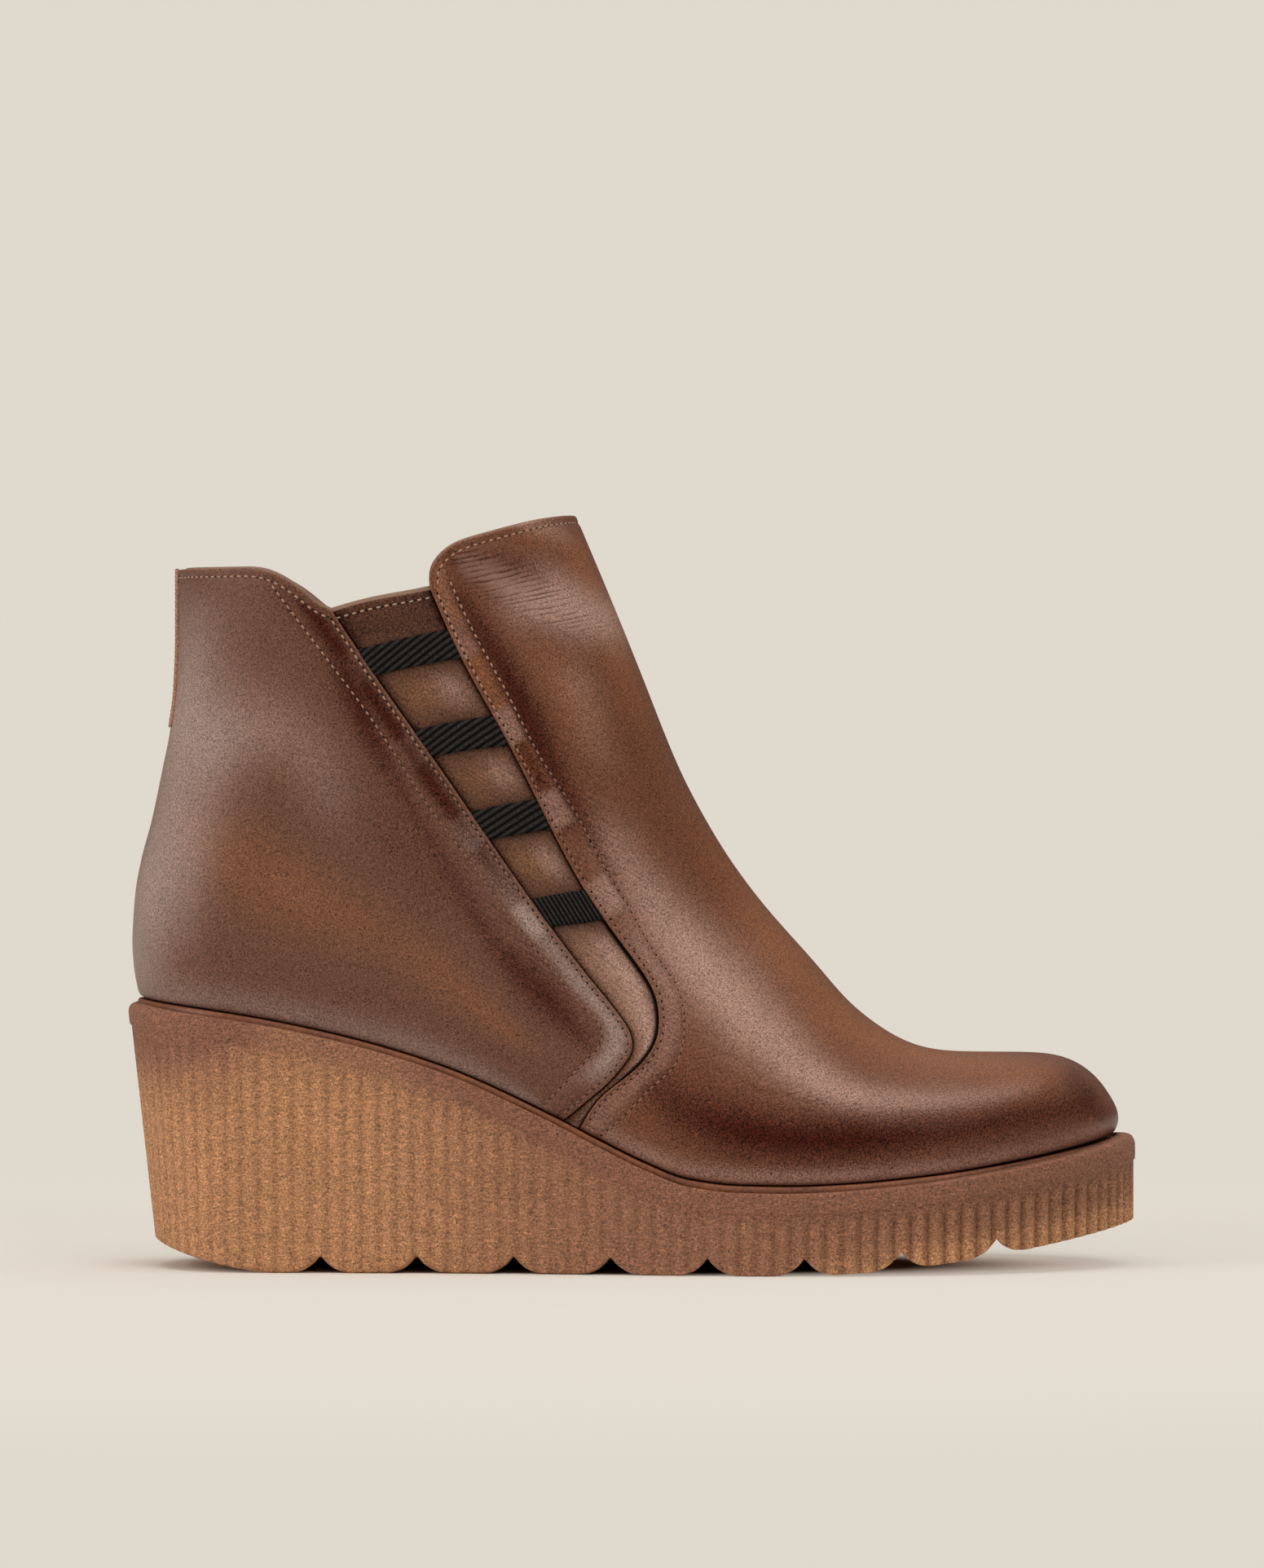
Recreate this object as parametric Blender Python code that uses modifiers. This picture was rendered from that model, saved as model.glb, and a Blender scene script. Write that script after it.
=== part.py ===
import math

import bmesh
import bpy
import numpy as np

# Wedge ankle boot for a right foot, women's size 38, standing on its sole.
# Frame: +X toe, +Y inner side of the foot, +Z up, origin in the middle of the footprint on the floor.
# Lengths are metres. Tables hold shares of the named sizes, one row for each section or bend.

# Last and sole unit
UPPER_LENGTH = 0.2425       # heel back to toe tip along the feather line, where upper meets sole
SHAFT_HEIGHT = 0.106        # feather line at the heel to the rear collar
HEEL_WIDTH = 0.062
BALL_WIDTH = 0.084
ANKLE_WIDTH = 0.057
COLLAR_WIDTH = 0.062
PLATFORM = 0.0218           # sole height under the ball
WEDGE_RISE = 0.0447         # extra height under the heel
TOE_SPRING = 0.0113
HEEL_LIFT = 0.0064          # rounding up of the underside at the heel back
BAND_HEIGHT = 0.0052        # smooth band under the rim
BAND_PROUD = 0.0004
RIM_TOE = 0.0050            # sole beyond the upper at toe, heel and sides
RIM_HEEL = 0.0025
RIM_SIDE = 0.0032
RIB_PITCH = 0.00415
RIB_DEPTH = 0.0005
RIB_FADE = 0.0040           # height over which the ribs run out below the band
NOTCH_PITCH = 0.0235
NOTCH_DEPTH = 0.0044
LOBE_RADIUS = 0.0060
NOTCH_FLANK = math.radians(46)

# Layers, outside to inside
PANEL = 0.0013              # vamp and quarter leather
SHELL = 0.0014              # lining and gusset leather
CLEARANCE = 0.0003          # between pieces that touch
SEAM = 0.0006               # between the panels at the inner side seam
STRAP = 0.0010
STRAP_FIT = 0.0005          # strap ends to the panel edges
STRAP_SHARE = 0.024         # half a strap's height as a share of the gusset's edge
BACK_STRIP = 0.0007
BACK_STRIP_WIDTH = 0.011
BACK_STRIP_ROWS = 5         # rows of the upper that the strip runs down from the collar
INSOLE = 0.0025
INSOLE_FIT = 0.0007         # insole edge to the lining
PLATE = 0.0022              # midsole plate
PLATE_PROUD = 0.0003        # plate edge beyond the upper
PLATE_SHOWS = 0.0015        # plate above the sole's rim
SEAT_FIT = 0.0007           # plate edge to the sole's rim

# Facets
REAR_COLUMNS = 9
GUSSET_COLUMNS = 3
FRONT_COLUMNS = 15
SLAB_STATIONS = 56


def named(names, *rows):
    """A table with named columns as a dictionary of arrays."""
    return dict(zip(names.split(), np.array(rows, float).T))


# Rise of the feather line over the ball, as a share of WEDGE_RISE
WEDGE = named("along rise", (0, 1), (.11, .92), (.21, .81), (.31, .65), (.42, .385), (.47, .245),
              (.515, .125), (.56, .035), (.61, .004), (.66, 0), (.8, 0), (1, 0))
SPRING_FROM = .662          # along the foot, where the toe spring starts
SPRING_POWER = 1.65
LIFT_BEFORE = .142          # along the foot, where the underside rounds up at the heel
LIFT_POWER = 1.4

# Half-widths of the feather line: 0 is half the heel's width, 1 half the ball's.
# The centre line's swing is a share of half the ball's width.
FOOT = named("along outer inner centre",
             (0, 0, 0, 0), (.10, 0, 0, 0), (.20, .045, -.09, 0), (.30, .09, -.23, 0),
             (.40, .227, -.27, 0), (.50, .50, 0, 0), (.60, .864, .59, .01), (.66, 1, .91, .02),
             (.72, 1, 1.045, .028), (.80, .818, .86, .045), (.90, .455, .41, .08), (1, .18, 0, .12))
SHAFT = named("height width", (0, 0), (.52, 0), (.80, .55), (1, 1), (1.5, 1))
SHAFT_BLEND = .71           # share of the shaft's height where the foot's sections have become the shaft's
SWELL = named("height out", (0, 0), (.113, 1), (.3, .5), (.6, .07), (1.5, 0))
SWELL_SIZE = .0018          # how far the leather swells out above the feather line

# Back profile: along and height, with the heel's roundness in plan
BACK = named("along height reach",
             (0, 0, .030), (-.0055, .072, .030), (-.007, .128, .030), (-.006, .183, .030),
             (-.0035, .25, .031), (.0025, .323, .032), (.0125, .409, .034), (.023, .523, .036),
             (.0315, .622, .039), (.037, .717, .041), (.039, .85, .043), (.039, .995, .044))

# Front profile from the toe tip to the collar, with the closure's reach behind it
FRONT = named("along height reach",
              (.996, 0, .020), (1.001, .03, .020), (.993, .0925, .020), (.980, .139, .020),
              (.963, .179, .020), (.9455, .205, .020), (.9005, .235, .020), (.850, .254, .021),
              (.800, .281, .023), (.7755, .309, .025), (.7505, .350, .027), (.7255, .402, .029),
              (.6925, .4915, .031), (.6375, .636, .034), (.585, .802, .036), (.552, .932, .038),
              (.509, 1.136, .042), (.467, 1.322, .045), (.4455, 1.413, .046))
TOE_SQUEEZE = .43           # lengthwise squeeze of the toe's distances, which rounds the toe in plan
SQUEEZE_ZONE = (.70, .92)
CLOSURE = 2.4

# Panel edges from the feather line to the collar
REAR_EDGE = named("along height",
                  (.434, 0), (.441, .021), (.4616, .086), (.480, .145), (.4955, .205),
                  (.5033, .249), (.502, .277), (.493, .303), (.4748, .335), (.4537, .369),
                  (.419, .433), (.3616, .556), (.3017, .700), (.246, .842), (.2008, .971))
FRONT_EDGE = named("along height",
                   (.4504, 0), (.467, .081), (.4876, .148), (.5087, .211), (.5219, .261),
                   (.5285, .303), (.5298, .353), (.5256, .395), (.514, .432), (.4983, .465),
                   (.4616, .539), (.4252, .643), (.3806, .797), (.3326, .948), (.30, 1.087))

# Collar lines between the ends of the profiles and panel edges, back to front
REAR_COLLAR = named("along height", (.105, 1.025), (.13, 1.031), (.1545, 1.019), (.1727, .999),
                    (.1913, .976))
GUSSET_COLLAR = named("along height", (.243, 1.022), (.288, 1.072))
FLAP_COLLAR = named("along height", (.30, 1.12), (.3074, 1.160), (.322, 1.201), (.349, 1.251),
                    (.3843, 1.312), (.415, 1.365))
INNER_COLLAR = named("along height", (.245, 1.02), (.285, 1.075), (.315, 1.14), (.35, 1.225),
                     (.39, 1.31))

# Where the facets' rows cross the back profile, the panel edges and the front profile, share of length
ROWS = named("back edge front", (0, 0, 0), (.03, .02, .02), (.065, .04, .05), (.10, .06, .085),
             (.14, .08, .125), (.19, .105, .18), (.25, .14, .25), (.32, .19, .33), (.39, .26, .41),
             (.46, .35, .49), (.54, .445, .57), (.63, .55, .655), (.72, .66, .74), (.81, .77, .825),
             (.905, .885, .91), (1, 1, 1))

NOTCHES = 8
NOTCH_FIRST = .1905         # along the foot
STRAPS = named("rear front", (.90, .906), (.750, .764), (.605, .631), (.456, .488))   # up the two edges

DRAFT = named("along slope", (0, .05), (.3, .05), (.55, .03), (.8, .02), (1, 0))
BACK_RAKE = .062            # extra draft straight behind the heel

LEATHER_BROWN = (.20, .075, .035)
COLOURS = {                 # base colour, roughness
    "leather": (LEATHER_BROWN, .42),
    "lining": ((.25, .12, .07), .6),
    "elastic": ((.012, .010, .010), .85),
    "plate": ((.07, .022, .012), .5),
    "crepe": ((.52, .25, .10), .7),
    "insole": ((.42, .27, .16), .7),
}


def smooth(xs, ys, at):
    """Read a table between its rows by a cubic that never overshoots them."""
    step = np.diff(xs)
    slope = np.diff(ys) / step
    tangent = np.zeros(len(xs))
    left, right = slope[:-1], slope[1:]
    turning = left * right <= 0
    safe_left, safe_right = np.where(turning, 1, left), np.where(turning, 1, right)
    weight_left, weight_right = 2 * step[1:] + step[:-1], step[1:] + 2 * step[:-1]
    mean = (weight_left + weight_right) / (weight_left / safe_left + weight_right / safe_right)
    tangent[1:-1] = np.where(turning, 0, mean)
    tangent[0], tangent[-1] = slope[0], slope[-1]
    at = np.clip(at, xs[0], xs[-1])
    k = np.clip(np.searchsorted(xs, at, side="right") - 1, 0, len(xs) - 2)
    t = (at - xs[k]) / step[k]
    return ((1 + 2 * t) * (1 - t) ** 2 * ys[k] + t * (1 - t) ** 2 * step[k] * tangent[k]
            + t * t * (3 - 2 * t) * ys[k + 1] + t * t * (t - 1) * step[k] * tangent[k + 1])


def spline(points, shares):
    """Natural cubic through points, read at shares of the curve's length."""
    points = np.asarray(points, float)
    knots = np.concatenate([[0], np.cumsum(np.linalg.norm(np.diff(points[:, :2], axis=0), axis=1))])
    knots /= knots[-1]
    step = np.diff(knots)[:, None]
    slope = np.diff(points, axis=0) / step
    count = len(points)
    matrix, wanted = np.eye(count), np.zeros_like(points)
    for i in range(1, count - 1):
        matrix[i, i - 1:i + 2] = step[i - 1, 0], 2 * (step[i - 1, 0] + step[i, 0]), step[i, 0]
        wanted[i] = 6 * (slope[i] - slope[i - 1])
    bend = np.linalg.solve(matrix, wanted)

    def read(at):
        k = np.clip(np.searchsorted(knots, at, side="right") - 1, 0, count - 2)
        width = step[k]
        a = (knots[k + 1] - at)[:, None] / width
        b = 1 - a
        return (a * points[k] + b * points[k + 1]
                + ((a ** 3 - a) * bend[k] + (b ** 3 - b) * bend[k + 1]) * width ** 2 / 6)

    fine = np.linspace(0, 1, 600)
    path = read(fine)
    run = np.concatenate([[0], np.cumsum(np.linalg.norm(np.diff(path[:, :2], axis=0), axis=1))])
    return read(np.interp(np.asarray(shares, float), run / run[-1], fine))


def spring(x):
    """Lift of sole and feather line towards the toe."""
    start, reach = SPRING_FROM * UPPER_LENGTH, (1.0206 - SPRING_FROM) * UPPER_LENGTH
    return TOE_SPRING * (np.maximum(x - start, 0) / reach) ** SPRING_POWER


def feather(x):
    """Height of the line where upper meets sole."""
    return PLATFORM + spring(x) + WEDGE_RISE * smooth(WEDGE["along"], WEDGE["rise"], x / UPPER_LENGTH)


def underside(x):
    """Height of the sole's underside, flat between heel rounding and toe spring."""
    before = LIFT_BEFORE * UPPER_LENGTH
    back_corner = .0169 * UPPER_LENGTH
    lift = np.maximum(before - x, 0) / (before - back_corner)
    return spring(x) + HEEL_LIFT * lift ** LIFT_POWER


def centre(x):
    """Swing of the centre line towards the inner side at the toe."""
    return BALL_WIDTH / 2 * smooth(FOOT["along"], FOOT["centre"], x / UPPER_LENGTH)


def ease(t):
    t = np.clip(t, 0, 1)
    return t * t * (3 - 2 * t)


def close(u):
    """Share of the full half-width squared at a share u of the reach behind a profile."""
    return 1 - (1 - np.minimum(u, 1)) ** CLOSURE


def squeeze(x):
    """Lengthwise coordinate in which the toe's plan curve is as tight as its side curve."""
    start, end = (share * UPPER_LENGTH for share in SQUEEZE_ZONE)
    t = np.clip((x - start) / (end - start), 0, 1)
    lost = (end - start) * (t ** 3 - t ** 4 / 2) + np.maximum(x - end, 0)
    return x - (1 - TOE_SQUEEZE) * lost


def front_line():
    """Front profile as a fine polyline of squeezed x, z and reach, run past both ends."""
    rows = np.column_stack([FRONT["along"] * UPPER_LENGTH, FRONT["height"] * SHAFT_HEIGHT, FRONT["reach"]])
    line = spline(rows, np.linspace(0, 1, 160))
    line[:, 1] += feather(line[:, 0])
    line[:, 0] = squeeze(line[:, 0])
    first, last = line[0] - (line[1] - line[0]) * 20, line[-1] + (line[-1] - line[-2]) * 20
    first[2], last[2] = line[0, 2], line[-1, 2]
    return np.vstack([first, line, last])


FRONT_LINE = front_line()


def front_share(x, z):
    """Distance behind the front profile as a share of the closure's reach there."""
    start, along = FRONT_LINE[:-1], np.diff(FRONT_LINE, axis=0)
    px, pz = squeeze(x)[..., None] - start[:, 0], z[..., None] - start[:, 1]
    length = along[:, 0] ** 2 + along[:, 1] ** 2
    t = np.clip((px * along[:, 0] + pz * along[:, 1]) / length, 0, 1)
    dx, dz = px - t * along[:, 0], pz - t * along[:, 1]
    away = np.hypot(dx, dz)
    near = np.argmin(away, axis=-1)[..., None]
    side = np.sign(along[:, 0] * pz - along[:, 1] * px)
    distance = np.take_along_axis(away * np.where(side == 0, 1, side), near, -1)[..., 0]
    reach = np.take_along_axis(start[:, 2] + t * along[:, 2], near, -1)[..., 0]
    return distance / reach


def back_line(z):
    """The back profile's x and its reach at a height."""
    heights = BACK["height"] * SHAFT_HEIGHT + feather(0)
    return smooth(heights, BACK["along"], z) * UPPER_LENGTH, smooth(heights, BACK["reach"], z)


def widest(x, z, inner):
    """Half-width of a section, before front and back close it."""
    up = (z - feather(x)) / SHAFT_HEIGHT
    grown = smooth(FOOT["along"], FOOT["inner" if inner else "outer"], x / UPPER_LENGTH)
    foot = (HEEL_WIDTH + (BALL_WIDTH - HEEL_WIDTH) * grown) / 2
    shaft = (ANKLE_WIDTH + (COLLAR_WIDTH - ANKLE_WIDTH) * smooth(SHAFT["height"], SHAFT["width"], up)) / 2
    blend = ease(up / SHAFT_BLEND)
    return foot + (shaft - foot) * blend + SWELL_SIZE * smooth(SWELL["height"], SWELL["out"], up)


def section(x, z, inner):
    """Half-width squared of the upper's outer surface at a point of the side view."""
    back_x, back_reach = back_line(z)
    behind = close((x - back_x) / back_reach)
    return widest(x, z, inner) ** 2 * behind * close(front_share(x, z))


def skin(x, z, inner, depth, closed=None):
    """Points of the upper, inward from its outer surface by depth. One column may lie on a profile."""
    side = 1 if inner else -1
    half = np.sqrt(np.maximum(section(x, z, inner), 0))
    if closed is not None:
        half[:, closed] = 0
    h = .0004
    normal = np.stack([
        -(section(x + h, z, inner) - section(x - h, z, inner)) / (2 * h)
        - 2 * side * half * (centre(x + h) - centre(x - h)) / (2 * h),
        2 * side * half,
        -(section(x, z + h, inner) - section(x, z - h, inner)) / (2 * h)], axis=-1)
    normal /= np.linalg.norm(normal, axis=-1, keepdims=True)
    return np.stack([x, centre(x) + side * half, z], axis=-1) - normal * depth


def along_line(rows, shares, start=None, end=None):
    """A table's line as x and height over the feather line, read at shares of its length."""
    points = np.column_stack([rows["along"] * UPPER_LENGTH, rows["height"] * SHAFT_HEIGHT])
    ends = [[start] if start is not None else [], points, [end] if end is not None else []]
    return spline(np.vstack([np.reshape(part, (-1, 2)) for part in ends]), shares)


def back_profile(shares):
    """Back profile in the same terms, its heights counted from the heel's feather line."""
    line = along_line(BACK, shares)
    line[:, 1] += feather(0) - feather(line[:, 0])
    return line


def patch(left, right, bottom, top, across, up):
    """Surface between four lines: its rows run from left to right, its columns upward."""
    s, t = across[None, :, None], up[:, None, None]
    corners = ((1 - s) * (1 - t) * left[0] + s * (1 - t) * right[0]
               + (1 - s) * t * left[-1] + s * t * right[-1])
    return ((1 - s) * left[:, None] + s * right[:, None]
            + (1 - t) * bottom[None] + t * top[None] - corners)


def ground(start, end, shares):
    """A stretch of the feather line."""
    return start + (end - start) * shares[:, None]


def side_patches():
    """Patches of the side view: rear, gusset and front of the outer side, rear and front of the inner."""
    up = np.linspace(0, 1, len(ROWS["edge"]))
    back, front = back_profile(ROWS["back"]), along_line(FRONT, ROWS["front"])
    rear_edge, front_edge = along_line(REAR_EDGE, ROWS["edge"]), along_line(FRONT_EDGE, ROWS["edge"])
    rear = 1 - np.cos(np.linspace(0, math.pi / 2, REAR_COLUMNS + 1))
    gusset = np.linspace(0, 1, GUSSET_COLUMNS + 1)
    forward = np.sin(np.linspace(0, math.pi / 2, FRONT_COLUMNS + 1))
    rear_collar = along_line(REAR_COLLAR, rear, back[-1], rear_edge[-1])
    gusset_collar = along_line(GUSSET_COLLAR, gusset, rear_edge[-1], front_edge[-1])
    flap_collar = along_line(FLAP_COLLAR, forward, front_edge[-1], front[-1])
    inner_collar = along_line(INNER_COLLAR, forward, rear_edge[-1], front[-1])
    return {
        "rear": patch(back, rear_edge, ground(back[0], rear_edge[0], rear), rear_collar, rear, up),
        "gusset": patch(rear_edge, front_edge, ground(rear_edge[0], front_edge[0], gusset),
                        gusset_collar, gusset, up),
        "front": patch(front_edge, front, ground(front_edge[0], front[0], forward),
                       flap_collar, forward, up),
        "inner_front": patch(rear_edge, front, ground(rear_edge[0], front[0], forward),
                             inner_collar, forward, up),
    }


def on_skin(flat, inner, depth, closed=None, grounded=True):
    """Lift side-view points onto the upper, the first row kept on the feather line."""
    x, z = flat[..., 0], flat[..., 1] + feather(flat[..., 0])
    points = skin(x, z, inner, depth, closed)
    if grounded:
        points[0, :, 2] = feather(points[0, :, 0])
    return points


def material(name):
    found = bpy.data.materials.get(name)
    if found:
        return found
    colour, roughness = COLOURS[name]
    made = bpy.data.materials.new(name)
    made.use_nodes = True
    shader = made.node_tree.nodes["Principled BSDF"]
    shader.inputs["Base Color"].default_value = (*colour, 1)
    shader.inputs["Roughness"].default_value = roughness
    shader.inputs["Metallic"].default_value = 0
    made.diffuse_color = (*colour, 1)
    return made


def place(name, vertices, faces, finish, group, parent):
    mesh = bpy.data.meshes.new(name)
    mesh.from_pydata([tuple(v) for v in vertices], [], faces)
    mesh.validate()
    made = bpy.data.objects.new(name, mesh)
    group.objects.link(made)
    made.parent = parent
    if finish:
        mesh.materials.append(material(finish))
        mesh.shade_smooth()
    return made


def sheet(name, grid, thickness, finish, group, parent, ring=False):
    """A grid of points, rows upward and columns to the right seen from outside, with a wall inward."""
    rows, columns = grid.shape[:2]
    at = np.arange(rows * columns).reshape(rows, columns)
    if ring:
        at = np.column_stack([at, at[:, 0]])
    low_left, low_right, high_right, high_left = at[:-1, :-1], at[:-1, 1:], at[1:, 1:], at[1:, :-1]
    halves = [np.stack([low_left, low_right, high_right], axis=-1),
              np.stack([low_left, high_right, high_left], axis=-1)]
    faces = np.concatenate([half.reshape(-1, 3) for half in halves]).tolist()
    made = place(name, grid.reshape(-1, 3), faces, finish, group, parent)
    wall = made.modifiers.new("wall", "SOLIDIFY")
    wall.thickness, wall.offset = thickness, -1
    wall.use_even_offset = True
    return made


def draw_back(grid, column, neighbour, gap):
    """Draw a grid's outer column back towards its neighbour."""
    way = grid[:, neighbour] - grid[:, column]
    grid[:, column] += way / np.linalg.norm(way, axis=-1, keepdims=True) * gap


def footprint(inner, shares, side, heel=None, toe=None):
    """One side of the upper's outline on the feather line, grown, with its outward normals."""
    heel, toe = side if heel is None else heel, side if toe is None else toe
    end = FRONT["along"][0] * UPPER_LENGTH
    x = end * (1 - np.cos(np.linspace(0, math.pi, 500))) / 2
    y = centre(x) + (1 if inner else -1) * np.sqrt(np.maximum(section(x, feather(x), inner), 0))
    y[[0, -1]] = centre(x[[0, -1]])
    dx, dy = np.gradient(x), np.gradient(y)
    normal = np.column_stack([dy, -dx]) * (-1 if inner else 1)
    normal /= np.linalg.norm(normal, axis=1, keepdims=True)
    normal[0], normal[-1] = (-1, 0), (1, 0)
    forward = np.maximum(normal[:, 0], 0) ** 2
    backward = np.maximum(-normal[:, 0], 0) ** 2
    grow = side + (toe - side) * forward + (heel - side) * backward
    points = np.column_stack([x, y]) + normal * grow[:, None]
    run = np.concatenate([[0], np.cumsum(np.linalg.norm(np.diff(points, axis=0), axis=1))])
    both = np.column_stack([points, normal])
    read = np.column_stack([np.interp(shares * run[-1], run, column) for column in both.T])
    return read[:, :2], read[:, 2:], run[-1]


def loop(shares, side, heel=None, toe=None):
    """The grown outline as one closed loop: heel, outer side, toe, inner side."""
    outer, outer_normal, outer_run = footprint(False, shares, side, heel, toe)
    inner, inner_normal, inner_run = footprint(True, shares, side, heel, toe)
    points = np.vstack([outer, inner[-2:0:-1]])
    normals = np.vstack([outer_normal, inner_normal[-2:0:-1]])
    return points, normals, (outer_run + inner_run) / 2


def stack(name, levels, finish, group, parent):
    """A solid of closed loops one above another, capped by strips across the foot."""
    count = levels.shape[1]
    half = count // 2
    at = np.arange(levels.shape[0] * count).reshape(-1, count)
    turned = np.roll(at, -1, axis=1)
    walls = np.stack([at[:-1], turned[:-1], turned[1:], at[1:]], axis=-1).reshape(-1, 4).tolist()
    caps = []
    for level, flip in ((at[0], True), (at[-1], False)):
        strips = [[level[0], level[1], level[-1]], [level[half - 1], level[half], level[half + 1]]]
        strips += [[level[j], level[j + 1], level[count - j - 1], level[count - j]] for j in range(1, half - 1)]
        caps += [strip[::-1] if flip else strip for strip in strips]
    return place(name, levels.reshape(-1, 3), walls + caps, finish, group, parent)


def slab(name, side, low, high, finish, group, parent):
    """A plate inside the grown outline, between two heights over the feather line."""
    points, _, _ = loop(np.linspace(0, 1, SLAB_STATIONS + 1), side)
    line = feather(points[:, 0])
    levels = np.stack([np.column_stack([points, line + height]) for height in (low, high)])
    return stack(name, levels, finish, group, parent)


def rim_height(x):
    return feather(x) - CLEARANCE - PLATE_SHOWS


def ribbed_unit(group, parent):
    """The sole's block: drafted wall with ribs, smooth band and rim."""
    length = loop(np.linspace(0, 1, 100), RIM_SIDE, RIM_HEEL, RIM_TOE)[2]
    stations = 2 * round(length / RIB_PITCH)
    points, normals, _ = loop(np.linspace(0, 1, stations + 1), RIM_SIDE, RIM_HEEL, RIM_TOE)
    top = rim_height(points[:, 0])
    slope = smooth(DRAFT["along"], DRAFT["slope"], points[:, 0] / UPPER_LENGTH)
    slope += BACK_RAKE * np.maximum(-normals[:, 0], 0) ** 2
    rib = RIB_DEPTH * (np.arange(len(points)) % 2)

    def level(z, ribs, proud):
        inward = slope * (top - z) + rib * ribs - proud
        return np.column_stack([points - normals * inward[:, None], z])

    band = top - BAND_HEIGHT
    bottom = level(underside(points[:, 0]), 1, 0)
    bottom[:, 2] = underside(bottom[:, 0])
    levels = [bottom, level(band - RIB_FADE, 1, 0), level(band - BAND_PROUD, 0, 0),
              level(band, 0, BAND_PROUD), level(top, 0, BAND_PROUD)]
    return stack("sole", np.stack(levels), "crepe", group, parent)


def notch_cutter(group, parent):
    """Grooves across the underside: straight flanks that run out in the lobes' rounding."""
    meets = LOBE_RADIUS * (1 - math.cos(NOTCH_FLANK))
    flank = (NOTCH_DEPTH - meets) / math.tan(NOTCH_FLANK)
    lobe_x = flank + LOBE_RADIUS * math.sin(NOTCH_FLANK)
    turns = np.linspace(NOTCH_FLANK, math.radians(10), 4)
    side = [(lobe_x - LOBE_RADIUS * math.sin(turn), LOBE_RADIUS * (1 - math.cos(turn))) for turn in turns]
    below = side[-1][1] * 2
    side.append((side[-1][0] + below / math.tan(turns[-1]), side[-1][1] - below))
    side.append((side[-1][0], -LOBE_RADIUS))
    profile = [(0, NOTCH_DEPTH)] + side + [(-x, z) for x, z in reversed(side)]
    vertices, faces = [], []
    count = len(profile)
    for k in range(NOTCHES):
        x = NOTCH_FIRST * UPPER_LENGTH + k * NOTCH_PITCH
        tilt = math.atan2(underside(x + .001) - underside(x - .001), .002)
        base = len(vertices)
        for y in (-BALL_WIDTH, BALL_WIDTH):
            vertices += [(x + px * math.cos(tilt) - pz * math.sin(tilt), y,
                          underside(x) + px * math.sin(tilt) + pz * math.cos(tilt)) for px, pz in profile]
        faces += [[base + i, base + (i + 1) % count, base + count + (i + 1) % count, base + count + i]
                  for i in range(count)]
        faces += [[base + count - 1 - i for i in range(count)], [base + count + i for i in range(count)]]
    made = place("notch_cutter", vertices, faces, None, group, parent)
    tidy = bmesh.new()
    tidy.from_mesh(made.data)
    bmesh.ops.recalc_face_normals(tidy, faces=tidy.faces)
    tidy.to_mesh(made.data)
    tidy.free()
    return made


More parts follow.
